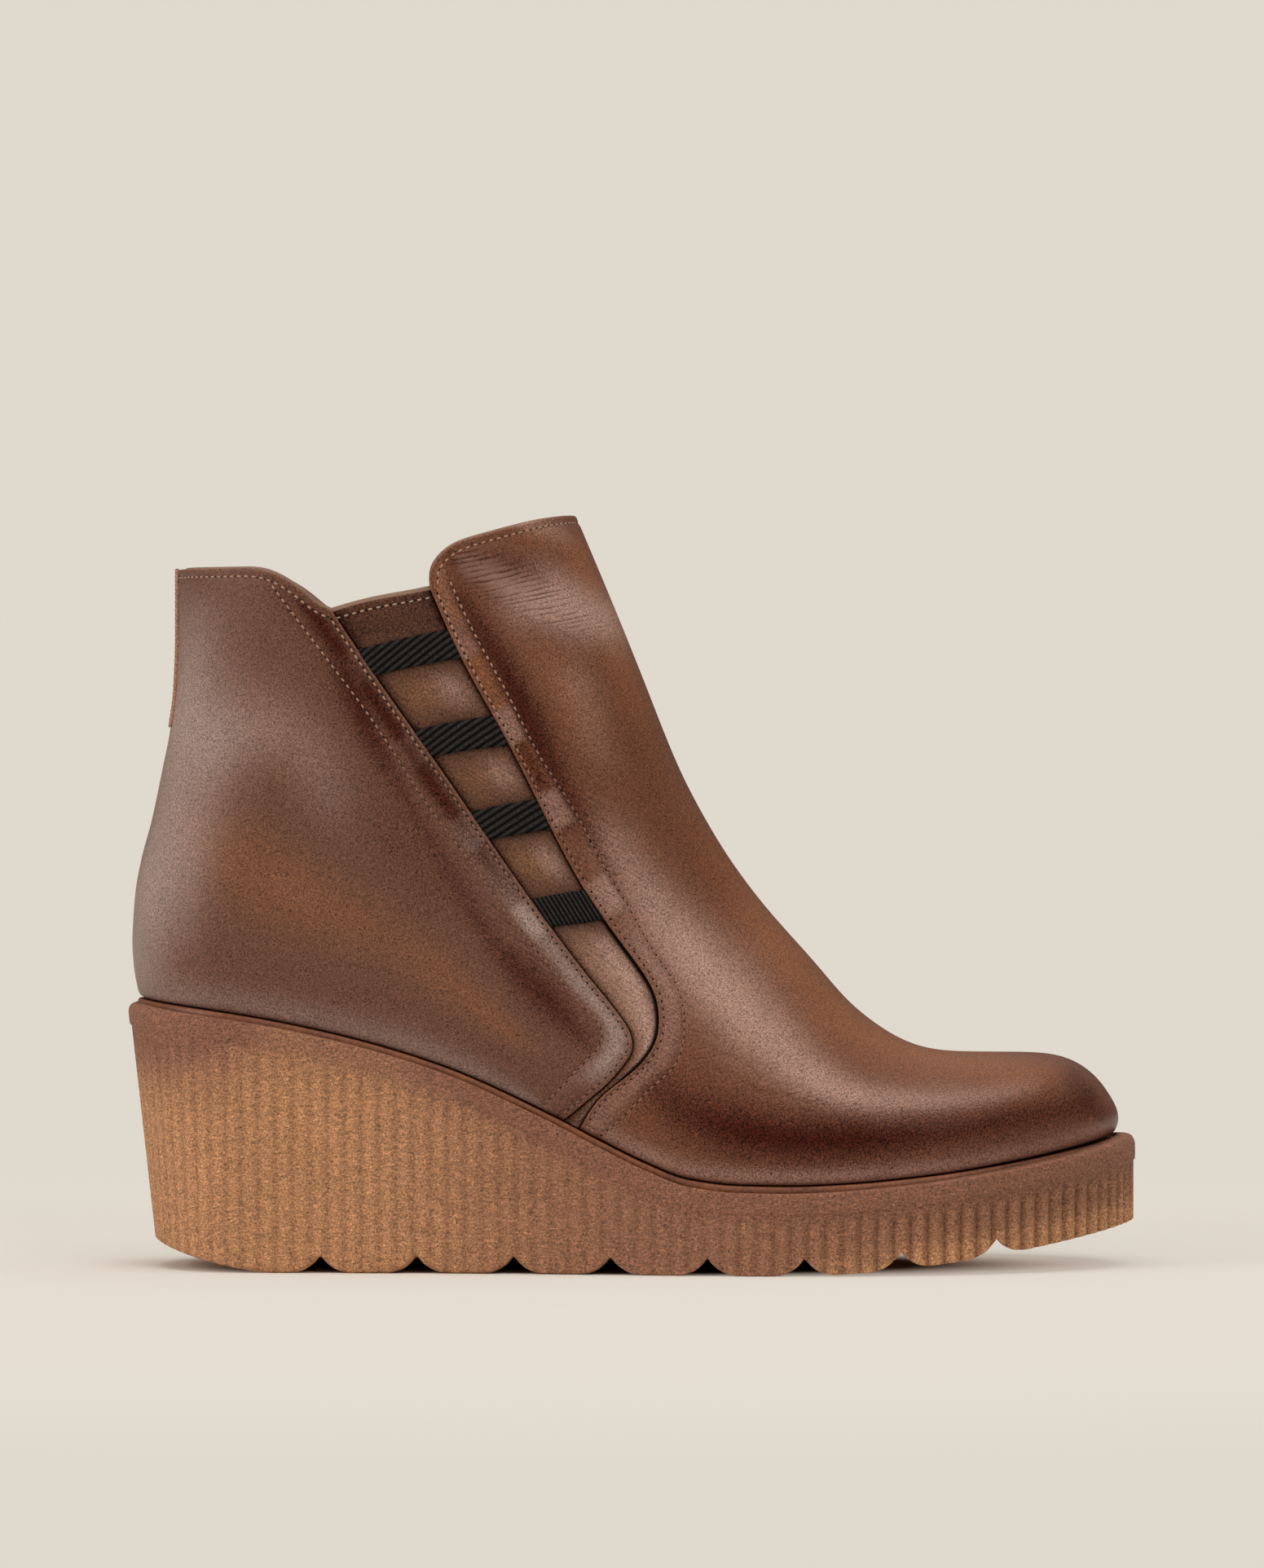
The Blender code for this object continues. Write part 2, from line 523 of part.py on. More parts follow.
def build():
    for old in list(bpy.data.objects):
        bpy.data.objects.remove(old)
    boot = bpy.data.collections.new("wedge_ankle_boot")
    tools = bpy.data.collections.new("cutters")
    for group in (boot, tools):
        bpy.context.scene.collection.children.link(group)

    # The frame stands under the middle of the sole's outline
    outline, _, _ = loop(np.linspace(0, 1, 400), RIM_SIDE + BAND_PROUD, RIM_HEEL + BAND_PROUD, RIM_TOE + BAND_PROUD)
    middle = (outline.min(axis=0) + outline.max(axis=0)) / 2
    frame = bpy.data.objects.new("boot_frame", None)
    frame.location = (-middle[0], -middle[1], 0)
    boot.objects.link(frame)

    flat = side_patches()
    shell_depth = PANEL + CLEARANCE

    def ring(depth):
        """The outer surface's columns from the back seam round the outer side, toe and inner side."""
        rear_outer = on_skin(flat["rear"], False, depth, 0)
        gusset = on_skin(flat["gusset"], False, depth)
        front_outer = on_skin(flat["front"], False, depth, -1)
        front_inner = on_skin(flat["inner_front"], True, depth, -1)[:, ::-1]
        rear_inner = on_skin(flat["rear"], True, depth, 0)[:, ::-1]
        return rear_outer, gusset, front_outer, front_inner, rear_inner

    # Upper: lining and gusset leather in one shell
    rear_outer, gusset, front_outer, front_inner, rear_inner = ring(shell_depth)
    shell = np.concatenate([rear_outer, gusset[:, 1:], front_outer[:, 1:], front_inner[:, 1:],
                            rear_inner[:, 1:-1]], axis=1)
    sheet("upper", shell, SHELL, "lining", boot, frame, ring=True)

    # Panels over it, butted at the inner side seam
    rear_outer, gusset, front_outer, front_inner, rear_inner = ring(0)
    quarter = np.concatenate([rear_inner, rear_outer[:, 1:]], axis=1)
    draw_back(quarter, 0, 1, SEAM / 2)
    sheet("quarter", quarter, PANEL, "leather", boot, frame)
    vamp = np.concatenate([front_outer, front_inner[:, 1:]], axis=1)
    draw_back(vamp, -1, -2, SEAM / 2)
    sheet("vamp", vamp, PANEL, "leather", boot, frame)

    # Straps across the gusset, let in between the panel edges
    across = np.linspace(0, 1, GUSSET_COLUMNS + 1)
    half_height = np.array([-STRAP_SHARE, STRAP_SHARE])
    for number, (rear, front) in enumerate(zip(STRAPS["rear"], STRAPS["front"]), start=1):
        left = along_line(REAR_EDGE, rear + half_height)
        right = along_line(FRONT_EDGE, front + half_height)
        rows = left[:, None] + (right - left)[:, None] * across[None, :, None]
        strap = on_skin(rows, False, PANEL - STRAP, grounded=False)
        draw_back(strap, 0, 1, STRAP_FIT)
        draw_back(strap, -1, -2, STRAP_FIT)
        sheet(f"strap_{number}", strap, STRAP, "elastic", boot, frame)

    # Back strip on the facets beside the back seam
    seam_column = REAR_COLUMNS
    top_rows = quarter[-BACK_STRIP_ROWS:, seam_column - 1:seam_column + 2].copy()
    mid = top_rows[:, 1]
    for column in (0, 2):
        way = top_rows[:, column] - mid
        top_rows[:, column] = mid + way / np.linalg.norm(way, axis=1, keepdims=True) * BACK_STRIP_WIDTH / 2
    out = np.cross(top_rows[:, 2] - top_rows[:, 0], np.gradient(mid, axis=0))
    out /= np.linalg.norm(out, axis=1, keepdims=True)
    top_rows += out[:, None] * (CLEARANCE + BACK_STRIP)
    sheet("back_strip", top_rows, BACK_STRIP, "leather", boot, frame)

    # Foot bed, plate and sole
    inset = shell_depth + SHELL + INSOLE_FIT
    slab("insole", -inset, 0, INSOLE, "insole", boot, frame)
    slab("midsole", PLATE_PROUD, -CLEARANCE - PLATE, -CLEARANCE, "plate", boot, frame)
    sole = ribbed_unit(boot, frame)
    seat = -2 * CLEARANCE - PLATE
    recess = slab("recess_cutter", PLATE_PROUD + SEAT_FIT, seat, PLATFORM, None, tools, frame)
    notches = notch_cutter(tools, frame)
    for cutter in (recess, notches):
        cutter.hide_render = True
        cutter.display_type = "WIRE"
        cut = sole.modifiers.new(cutter.name, "BOOLEAN")
        cut.object, cut.operation, cut.solver = cutter, "DIFFERENCE", "EXACT"


build()
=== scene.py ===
import math

import bpy
import numpy as np
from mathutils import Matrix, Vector


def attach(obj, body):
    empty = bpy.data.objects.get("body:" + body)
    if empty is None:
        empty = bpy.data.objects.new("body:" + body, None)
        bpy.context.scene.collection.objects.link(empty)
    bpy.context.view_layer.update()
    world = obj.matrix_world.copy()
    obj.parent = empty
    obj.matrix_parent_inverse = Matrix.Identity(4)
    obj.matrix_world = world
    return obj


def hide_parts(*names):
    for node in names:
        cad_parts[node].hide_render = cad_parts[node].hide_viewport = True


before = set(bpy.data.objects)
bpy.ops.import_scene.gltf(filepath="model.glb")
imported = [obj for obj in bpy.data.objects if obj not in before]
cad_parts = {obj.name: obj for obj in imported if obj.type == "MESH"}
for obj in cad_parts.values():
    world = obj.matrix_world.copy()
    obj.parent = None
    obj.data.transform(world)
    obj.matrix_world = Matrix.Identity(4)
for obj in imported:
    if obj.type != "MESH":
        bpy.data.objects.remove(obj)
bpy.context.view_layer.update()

# The boot's last is drawn in the side view: x from the heel back to the toe, and a height over the feather
# line, where upper meets sole. Tables give both as shares of the length and the shaft's height. A half-width
# for each point of that view lifts it into space. Everything is in metres.

last = {
    "length": .2425,
    "shaft": .106,
    "heelWidth": .062,
    "ballWidth": .084,
    "ankleWidth": .057,
    "collarWidth": .062,
    "platform": .0218,
    "wedgeRise": .0447,
    "toeSpring": .0113,
    "springFrom": .662,      # share of the length where the toe spring starts
    "springTo": 1.0206,      # share where the spring reaches its full height, at the sole's front
    "springPower": 1.65,
    "heelLift": .0064,
    "liftBefore": .142,      # share of the length where the underside rounds up
    "liftCorner": .0169,     # share where it has risen by the heel lift
    "liftPower": 1.4,
    "swell": .0018,          # how far the leather swells out above the feather line
    "shaftBlend": .71,       # share of the shaft's height where foot sections have become shaft sections
    "toeSqueeze": .43,       # lengthwise squeeze of the toe's distances
    "squeezeFrom": .70,
    "squeezeTo": .92,
    "closure": 2.4,          # power by which the half-width closes at the profiles
    "smoothFrom": .0025,     # distance behind the front profile where the smooth distance sets in
    "smoothOver": .005,
    "shiftX": -.1220,        # from the last's frame to the part's
    "shiftY": -.0013,
}
layers = {
    "panel": .0013,          # thickness of the vamp and quarter leather
    "lining": .0014,
    "clearance": .0003,
    "gussetDepth": .00125,   # gusset leather under the panels' outer surface
    "gussetPuff": .0004,
}


# A table with named columns, as a dictionary of arrays
def table(names, *rows):
    return dict(zip(names.split(), np.array(rows, float).T))


wedgeTable = table("along rise", (0, 1), (.11, .92), (.21, .81), (.31, .65), (.42, .385), (.47, .245),
                   (.515, .125), (.56, .035), (.61, .004), (.66, 0), (.8, 0), (1, 0))
footTable = table("along outer inner centre",
                  (0, 0, 0, 0), (.10, 0, 0, 0), (.20, .045, -.09, 0), (.30, .09, -.23, 0),
                  (.40, .227, -.27, 0), (.50, .50, 0, 0), (.60, .864, .59, .01), (.66, 1, .91, .02),
                  (.72, 1, 1.045, .028), (.80, .818, .86, .045), (.90, .455, .41, .08), (1, .18, 0, .12))
shaftTable = table("height width", (0, 0), (.52, 0), (.80, .55), (1, 1), (1.5, 1))
swellTable = table("height out", (0, 0), (.113, 1), (.3, .5), (.6, .07), (1.5, 0))
backTable = table("along height reach",
                  (0, 0, .030), (-.0055, .072, .030), (-.007, .128, .030), (-.006, .183, .030),
                  (-.0035, .25, .031), (.0025, .323, .032), (.0125, .409, .034), (.023, .523, .036),
                  (.0315, .622, .039), (.037, .717, .041), (.039, .85, .043), (.039, .995, .044))
frontTable = table("along height reach",
                   (.996, 0, .020), (1.001, .03, .020), (.993, .0925, .020), (.980, .139, .020),
                   (.963, .179, .020), (.9455, .205, .020), (.9005, .235, .020), (.850, .254, .021),
                   (.800, .281, .023), (.7755, .309, .025), (.7505, .350, .027), (.7255, .402, .029),
                   (.6925, .4915, .031), (.6375, .636, .034), (.585, .802, .036), (.552, .932, .038),
                   (.509, 1.136, .042), (.467, 1.322, .045), (.4455, 1.413, .046))
rearEdge = table("along height",
                 (.434, 0), (.441, .021), (.4616, .086), (.480, .145), (.4955, .205),
                 (.5033, .249), (.502, .277), (.493, .303), (.4748, .335), (.4537, .369),
                 (.419, .433), (.3616, .556), (.3017, .700), (.246, .842), (.2008, .971))
frontEdge = table("along height",
                  (.4504, 0), (.467, .081), (.4876, .148), (.5087, .211), (.5219, .261),
                  (.5285, .303), (.5298, .353), (.5256, .395), (.514, .432), (.4983, .465),
                  (.4616, .539), (.4252, .643), (.3806, .797), (.3326, .948), (.30, 1.087))
rearCollar = table("along height", (.105, 1.025), (.13, 1.031), (.1545, 1.019), (.1727, .999), (.1913, .976))
gussetCollar = table("along height", (.243, 1.022), (.288, 1.072))
flapCollar = table("along height", (.30, 1.12), (.3074, 1.160), (.322, 1.201), (.349, 1.251),
                   (.3843, 1.312), (.415, 1.365))
innerCollar = table("along height", (.245, 1.02), (.285, 1.075), (.315, 1.14), (.35, 1.225), (.39, 1.31))
# Second stitch rows of the two panels, from the collar down to the feather line
rearRow = table("along height",
                (.14, 1), (.195, .86), (.25, .72), (.30, .58), (.36, .45), (.39, .385), (.42, .34), (.45, .29),
                (.473, .25), (.472, .225), (.46, .175), (.438, .095), (.415, .015))
frontRow = table("along height",
                 (.32, 1.12), (.345, 1.02), (.38, .91), (.41, .81), (.45, .71), (.475, .63), (.50, .565),
                 (.525, .49), (.547, .435), (.555, .375), (.555, .32), (.547, .255), (.525, .185), (.50, .10),
                 (.47, .005))
# Where even rows of the surface cross the back profile, the panel edges and the front profile
rowTable = table("back edge front", (0, 0, 0), (.03, .02, .02), (.065, .04, .05), (.10, .06, .085),
                 (.14, .08, .125), (.19, .105, .18), (.25, .14, .25), (.32, .19, .33), (.39, .26, .41),
                 (.46, .35, .49), (.54, .445, .57), (.63, .55, .655), (.72, .66, .74), (.81, .77, .825),
                 (.905, .885, .91), (1, 1, 1))
# Strap middles as shares up the rear and front edges
strapTable = table("rear front", (.90, .906), (.750, .764), (.605, .631), (.456, .488))


# Value of a table between its rows, by a cubic that never overshoots them
def between(xs, ys, at):
    step = np.diff(xs)
    slope = np.diff(ys) / step
    tangent = np.zeros(len(xs))
    left, right = slope[:-1], slope[1:]
    turning = left * right <= 0
    safeLeft, safeRight = np.where(turning, 1, left), np.where(turning, 1, right)
    weightLeft, weightRight = 2 * step[1:] + step[:-1], step[1:] + 2 * step[:-1]
    mean = (weightLeft + weightRight) / (weightLeft / safeLeft + weightRight / safeRight)
    tangent[1:-1] = np.where(turning, 0, mean)
    tangent[0], tangent[-1] = slope[0], slope[-1]
    at = np.clip(at, xs[0], xs[-1])
    k = np.clip(np.searchsorted(xs, at, side="right") - 1, 0, len(xs) - 2)
    t = (at - xs[k]) / step[k]
    return ((1 + 2 * t) * (1 - t) ** 2 * ys[k] + t * (1 - t) ** 2 * step[k] * tangent[k]
            + t * t * (3 - 2 * t) * ys[k + 1] + t * t * (t - 1) * step[k] * tangent[k + 1])


# Natural cubic through points, as a function of the share of its length in the first two coordinates
def curve(points, fineness=900):
    points = np.asarray(points, float)
    knots = np.concatenate([[0], np.cumsum(np.linalg.norm(np.diff(points[:, :2], axis=0), axis=1))])
    knots /= knots[-1]
    step = np.diff(knots)[:, None]
    slope = np.diff(points, axis=0) / step
    count = len(points)
    matrix, wanted = np.eye(count), np.zeros_like(points)
    for i in range(1, count - 1):
        matrix[i, i - 1:i + 2] = step[i - 1, 0], 2 * (step[i - 1, 0] + step[i, 0]), step[i, 0]
        wanted[i] = 6 * (slope[i] - slope[i - 1])
    bend = np.linalg.solve(matrix, wanted)

    def atKnot(at):
        k = np.clip(np.searchsorted(knots, at, side="right") - 1, 0, count - 2)
        width = step[k]
        a = (knots[k + 1] - at)[:, None] / width
        b = 1 - a
        return (a * points[k] + b * points[k + 1]
                + ((a ** 3 - a) * bend[k] + (b ** 3 - b) * bend[k + 1]) * width ** 2 / 6)

    fine = np.linspace(0, 1, fineness)
    path = atKnot(fine)
    run = np.concatenate([[0], np.cumsum(np.linalg.norm(np.diff(path[:, :2], axis=0), axis=1))])

    def read(shares):
        shares = np.asarray(shares, float)
        flat = atKnot(np.interp(shares.ravel(), run / run[-1], fine))
        return flat.reshape(shares.shape + (points.shape[1],))

    return read


def ease(t):
    t = np.clip(t, 0, 1)
    return t * t * (3 - 2 * t)


# A soft bell, 1 at 0 and gone at about two widths
def bell(distance, width):
    return np.exp(-(distance / width) ** 2)


# Lift of sole and feather line towards the toe: a power of the distance from where it starts
def springLift(x):
    start = last["springFrom"] * last["length"]
    reach = (last["springTo"] - last["springFrom"]) * last["length"]
    return last["toeSpring"] * (np.maximum(x - start, 0) / reach) ** last["springPower"]


# Height of the feather line: platform, spring and the wedge's table
def featherHeight(x):
    wedge = between(wedgeTable["along"], wedgeTable["rise"], x / last["length"])
    return last["platform"] + springLift(x) + last["wedgeRise"] * wedge


# Height of the sole's underside, flat between the heel's rounding and the toe spring
def undersideHeight(x):
    before = last["liftBefore"] * last["length"]
    backCorner = last["liftCorner"] * last["length"]
    lift = np.maximum(before - x, 0) / (before - backCorner)
    return springLift(x) + last["heelLift"] * lift ** last["liftPower"]


# Swing of the centre line towards the inner side at the toe
def centreLine(x):
    return last["ballWidth"] / 2 * between(footTable["along"], footTable["centre"], x / last["length"])


# Share of the half-width squared at a share u of the reach behind a profile: 1 - (1 - u) to a power
def closing(u):
    return 1 - (1 - np.minimum(u, 1)) ** last["closure"]


# Lengthwise coordinate in which the toe's plan curve is as tight as its side curve
def squeezed(x):
    start, end = last["squeezeFrom"] * last["length"], last["squeezeTo"] * last["length"]
    t = np.clip((x - start) / (end - start), 0, 1)
    lost = (end - start) * (t ** 3 - t ** 4 / 2) + np.maximum(x - end, 0)
    return x - (1 - last["toeSqueeze"]) * lost


# A table's line in the side view: x and height over the feather line
def sideCurve(rows, start=None, end=None):
    points = np.column_stack([rows["along"] * last["length"], rows["height"] * last["shaft"]])
    points = [p for p in (start, points, end) if p is not None]
    return curve(np.vstack([np.reshape(p, (-1, 2)) for p in points]))


# The front profile as a polyline of squeezed x, z and reach, run on past both ends
def frontPolyline():
    rows = np.column_stack([frontTable["along"] * last["length"], frontTable["height"] * last["shaft"],
                            frontTable["reach"]])
    line = curve(rows)(np.linspace(0, 1, 160))
    line[:, 1] += featherHeight(line[:, 0])
    line[:, 0] = squeezed(line[:, 0])
    on = np.arange(1, 21)[:, None] * np.array([1, 1, 0])
    first, end = line[0] - (line[1] - line[0]) * on[::-1], line[-1] + (line[-1] - line[-2]) * on
    return np.vstack([first, line, end])


# Nearest place of a polyline to each point: distance, side (+1 left of its run) and share of its points
def nearest(px, pz, line):
    start, along = line[:-1], np.diff(line, axis=0)
    dx, dz = px[..., None] - start[:, 0], pz[..., None] - start[:, 1]
    length = along[:, 0] ** 2 + along[:, 1] ** 2
    t = np.clip((dx * along[:, 0] + dz * along[:, 1]) / length, 0, 1)
    away = np.hypot(dx - t * along[:, 0], dz - t * along[:, 1])
    near = np.argmin(away, axis=-1)[..., None]
    side = np.sign(along[:, 0] * dz - along[:, 1] * dx)
    taken = [np.take_along_axis(a, near, -1)[..., 0] for a in (away, np.where(side == 0, 1, side), t)]
    return taken[0], taken[1], near[..., 0] + taken[2]


frontLine = frontPolyline()


# Distance behind the front profile as a share of the closure's reach there. Away from the profile the distance
# is a mean of the inverse sixth powers to all its parts, which has no crease where two parts are equally near
def frontShare(x, z):
    px = squeezed(x)
    distance, side, place = nearest(px, z, frontLine)
    reach = np.interp(place, np.arange(len(frontLine)), frontLine[:, 2])
    middle = (frontLine[1:] + frontLine[:-1]) / 2
    size = np.linalg.norm(np.diff(frontLine[:, :2], axis=0), axis=1)
    apart = (px[..., None] - middle[:, 0]) ** 2 + (z[..., None] - middle[:, 1]) ** 2
    pull = size / np.maximum(apart, 1e-9) ** 3
    total = pull.sum(axis=-1)
    smooth = (total / (3 * math.pi / 8)) ** -.2
    smoothReach = (pull * middle[:, 2]).sum(axis=-1) / total
    share = ease((distance - last["smoothFrom"]) / last["smoothOver"])
    distance = distance + (smooth - distance) * share
    reach = reach + (smoothReach - reach) * share
    return distance * side / reach


# Half-width of a section before the profiles close it: foot's, blended into the shaft's with height
def widest(x, z, inner):
    up = (z - featherHeight(x)) / last["shaft"]
    grown = between(footTable["along"], footTable["inner" if inner else "outer"], x / last["length"])
    foot = (last["heelWidth"] + (last["ballWidth"] - last["heelWidth"]) * grown) / 2
    wide = between(shaftTable["height"], shaftTable["width"], up)
    shaft = (last["ankleWidth"] + (last["collarWidth"] - last["ankleWidth"]) * wide) / 2
    out = last["swell"] * between(swellTable["height"], swellTable["out"], up)
    return foot + (shaft - foot) * ease(up / last["shaftBlend"]) + out


# The back profile at a height over the floor: x, and the reach of its closure
def backProfile(z):
    heights = backTable["height"] * last["shaft"] + featherHeight(0)
    return between(heights, backTable["along"], z) * last["length"], between(heights, backTable["reach"], z)


# Half-width squared of the upper's outer surface: the section's, closed towards both profiles
def section(x, z, inner):
    backX, reach = backProfile(z)
    behind = closing((x - backX) / reach)
    return widest(x, z, inner) ** 2 * behind * closing(frontShare(x, z))


# Points of the upper and their normals, moved inward by depth; one column may lie on a profile
def skin(x, h, inner, depth=0, closed=None):
    z = h + featherHeight(x)
    side = 1 if inner else -1
    half = np.sqrt(np.maximum(section(x, z, inner), 0))
    if closed is not None:
        half[:, closed] = 0
    e = .0004
    normal = np.stack([
        -(section(x + e, z, inner) - section(x - e, z, inner)) / (2 * e)
        - 2 * side * half * (centreLine(x + e) - centreLine(x - e)) / (2 * e),
        2 * side * half,
        -(section(x, z + e, inner) - section(x, z - e, inner)) / (2 * e)], axis=-1)
    normal /= np.linalg.norm(normal, axis=-1, keepdims=True)
    depth = np.broadcast_to(depth, x.shape)[..., None]
    points = np.stack([x + last["shiftX"], centreLine(x) + side * half + last["shiftY"], z], axis=-1)
    return points - normal * depth, normal


# Surface of the side view between four lines, by Coons' rule: mixed rows + mixed columns - mixed corners
def coons(lines, s, t):
    left, right, bottom, top = lines
    corner = [line(np.array([end]))[0] for line in (left, right) for end in (0., 1.)]
    leftAt, rightAt = left(t), right(t)
    bottomAt, topAt = bottom(s), top(s)
    s, t = s[..., None], t[..., None]
    corners = ((1 - s) * (1 - t) * corner[0] + s * (1 - t) * corner[2]
               + (1 - s) * t * corner[1] + s * t * corner[3])
    return (1 - s) * leftAt + s * rightAt + (1 - t) * bottomAt + t * topAt - corners


# The row table's share of one line at t
def rowShare(column, t):
    steps = np.linspace(0, 1, len(rowTable[column]))
    return between(steps, rowTable[column], t)


# Lines round each patch of the side view: left, right, bottom and top, as functions of a share
def patchLines():
    back = sideCurve(backTable)
    rear, front = sideCurve(rearEdge), sideCurve(frontEdge)
    toe = sideCurve(frontTable)

    def backAt(t):
        line = back(rowShare("back", t))
        line[..., 1] += featherHeight(0) - featherHeight(line[..., 0])
        return line

    def rearAt(t):
        return rear(rowShare("edge", t))

    def frontAt(t):
        return front(rowShare("edge", t))

    def toeAt(t):
        return toe(rowShare("front", t))

    def ground(left, right):
        start, end = left(np.zeros(1))[0], right(np.zeros(1))[0]
        return lambda s: start + (end - start) * s[..., None]

    def crown(rows, left, right):
        return sideCurve(rows, left(np.ones(1))[0], right(np.ones(1))[0])

    return {
        "rear": (backAt, rearAt, ground(backAt, rearAt), crown(rearCollar, backAt, rearAt)),
        "gusset": (rearAt, frontAt, ground(rearAt, frontAt), crown(gussetCollar, rearAt, frontAt)),
        "front": (frontAt, toeAt, ground(frontAt, toeAt), crown(flapCollar, frontAt, toeAt)),
        "innerFront": (rearAt, toeAt, ground(rearAt, toeAt), crown(innerCollar, rearAt, toeAt)),
    }


patches = patchLines()
finer = 1
upperRows = round(215 * finer)
print("last ready")


# A mesh from vertices and faces of one size, with float attributes on its points
def makeMesh(name, vertices, faces, finish, attributes=None):
    mesh = bpy.data.meshes.new(name)
    mesh.vertices.add(len(vertices))
    mesh.vertices.foreach_set("co", np.ascontiguousarray(vertices, np.float32).ravel())
    sizes = np.concatenate([np.full(len(f), f.shape[1]) for f in faces])
    corners = np.concatenate([f.ravel() for f in faces])
    mesh.loops.add(len(corners))
    mesh.loops.foreach_set("vertex_index", corners.astype(np.int32))
    mesh.polygons.add(len(sizes))
    mesh.polygons.foreach_set("loop_start", np.concatenate([[0], np.cumsum(sizes)[:-1]]).astype(np.int32))
    mesh.update(calc_edges=True)
    mesh.validate()
    for label, values in (attributes or {}).items():
        made = mesh.attributes.new(label, "FLOAT", "POINT")
        made.data.foreach_set("value", np.ascontiguousarray(values, np.float32).ravel())
    mesh.materials.append(finish)
    mesh.shade_smooth()
    made = bpy.data.objects.new(name, mesh)
    bpy.context.scene.collection.objects.link(made)
    return made


# Quads of a grid whose columns run to the right seen from outside; ring joins the last column to the first
def gridFaces(rows, columns, start=0, ring=False):
    at = start + np.arange(rows * columns).reshape(rows, columns)
    if ring:
        at = np.column_stack([at, at[:, 0]])
    return np.stack([at[:-1, :-1], at[:-1, 1:], at[1:, 1:], at[1:, :-1]], axis=-1).reshape(-1, 4)


# Attaches a piece to the root body and hides the model's nodes that it replaces
def part(piece, slot, *nodes):
    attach(piece, "root")
    if nodes:
        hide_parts(*nodes)
    return piece


# Rows of a panel from the feather line to the collar: shares t, and how deep each lies at the turned-in ends
def panelRows(count):
    low = np.array([0, .003, .008, .015, .024, .035, .048])
    high = np.array([.982, .987, .991, .994, .9965, .998, .9990, .9996, 1, 1, 1])
    t = np.concatenate([low, np.linspace(low[-1], high[0], count)[1:-1], high])
    depth = np.zeros(len(t))
    depth[:6] = [.0011, .0007, .0004, .0002, .00008, .00002]
    depth[-6:] = [.00004, .00014, .00032, .00058, .0009, .00125]
    return t, depth


# Columns beside a cut edge: distances from it and the depth of its rounded, turned-in lip
def edgeColumns():
    away = np.concatenate([[.0010, .0002, 0, 0, .00006, .0002, .0004, .0007], np.arange(.0010, .0092, .00042)])
    depth = np.zeros(len(away))
    depth[:7] = [.0013, .0012, .0009, .00058, .0003, .00012, .00003]
    return away, depth


# One panel's grid in the side view, from its cut edge to a profile; each row starts at the edge's distances
def panelGrid(lines, count, t, edgeOnLeft):
    edge, far = (lines[0], lines[1]) if edgeOnLeft else (lines[1], lines[0])
    away, lip = edgeColumns()
    length = np.linalg.norm(far(t) - edge(t), axis=-1)[:, None]
    near = away[None] / length
    turn = np.sin(np.linspace(0, math.pi / 2, count + 1)[1:])
    rest = near[:, -1:] + (1 - near[:, -1:]) * turn[None]
    s = np.concatenate([near, rest], axis=1)
    depth = np.concatenate([lip, np.zeros(count)])
    if not edgeOnLeft:
        s, depth = 1 - s[:, ::-1], depth[::-1]
    flat = coons(lines, s, np.broadcast_to(t[:, None], s.shape))
    return flat[..., 0], flat[..., 1], depth


# A line of the side view as a polyline of x and z
def polyline(read, count=150):
    points = read(np.linspace(0, 1, count))
    return np.column_stack([points[:, 0], points[:, 1] + featherHeight(points[:, 0])])


edgeLines = {
    "rearEdge": polyline(sideCurve(rearEdge)),
    "frontEdge": polyline(sideCurve(frontEdge)),
    "rearRow": polyline(sideCurve(rearRow)),
    "frontRow": polyline(sideCurve(frontRow)),
    "rearTop": polyline(patches["rear"][3]),
    "frontTop": polyline(patches["front"][3]),
    "innerTop": polyline(patches["innerFront"][3]),
}

seams = {
    "edgeRow": .00125,       # first stitch row from a panel's edge
    "collarRow": .0021,
    "innerRow": .0016,
    "gussetRow": .0025,
    "trough": .00022,        # depth of the line that stitches pull in
    "troughWidth": .0006,
    "rearPuff": .00035,
    "frontPuff": .00030,
    "strapLump": .00038,
    "lumpReach": .0048,      # half a strap lump's length along the edge
    "edgeWear": {"rearEdge": .28, "frontEdge": .12},
}


# Creases of the vamp: start, end, bow in mm, half-width in mm and depth in mm
creases = [
    (.322, 1.190, .412, 1.205, -1.2, .55, .16), (.325, 1.168, .405, 1.185, -1.6, .60, .20),
    (.335, 1.150, .398, 1.160, -1.4, .55, .14), (.352, 1.196, .440, 1.190, -1.8, .55, .20),
    (.362, 1.172, .446, 1.165, -2.0, .60, .20), (.385, 1.192, .452, 1.150, -1.6, .55, .16),
    (.345, 1.120, .400, 1.125, 1.2, .70, .16), (.352, 1.100, .392, 1.140, 1.0, .60, .12),
    (.398, 1.150, .430, 1.120, -.8, .60, .12), (.400, .935, .428, .915, .6, .70, .14),
    (.412, .905, .446, .880, .8, .90, .16), (.445, .760, .486, .790, .8, .70, .15),
    (.452, .735, .492, .752, .7, .60, .13), (.462, .705, .502, .735, .8, .60, .14),
    (.478, .668, .518, .705, .9, .70, .16), (.488, .640, .534, .665, .9, .65, .14),
    (.500, .610, .548, .640, .8, .80, .14), (.516, .560, .556, .585, .6, .80, .12),
    (.560, .345, .640, .262, 1.2, .90, .16), (.566, .310, .648, .225, 1.4, .80, .18),
    (.572, .270, .640, .190, 1.4, .80, .16), (.590, .300, .670, .232, 1.0, .70, .12),
    (.610, .215, .700, .168, 1.2, .80, .14), (.640, .250, .730, .200, 1.2, .90, .10),
    (.556, .400, .600, .352, .8, .80, .10),
]
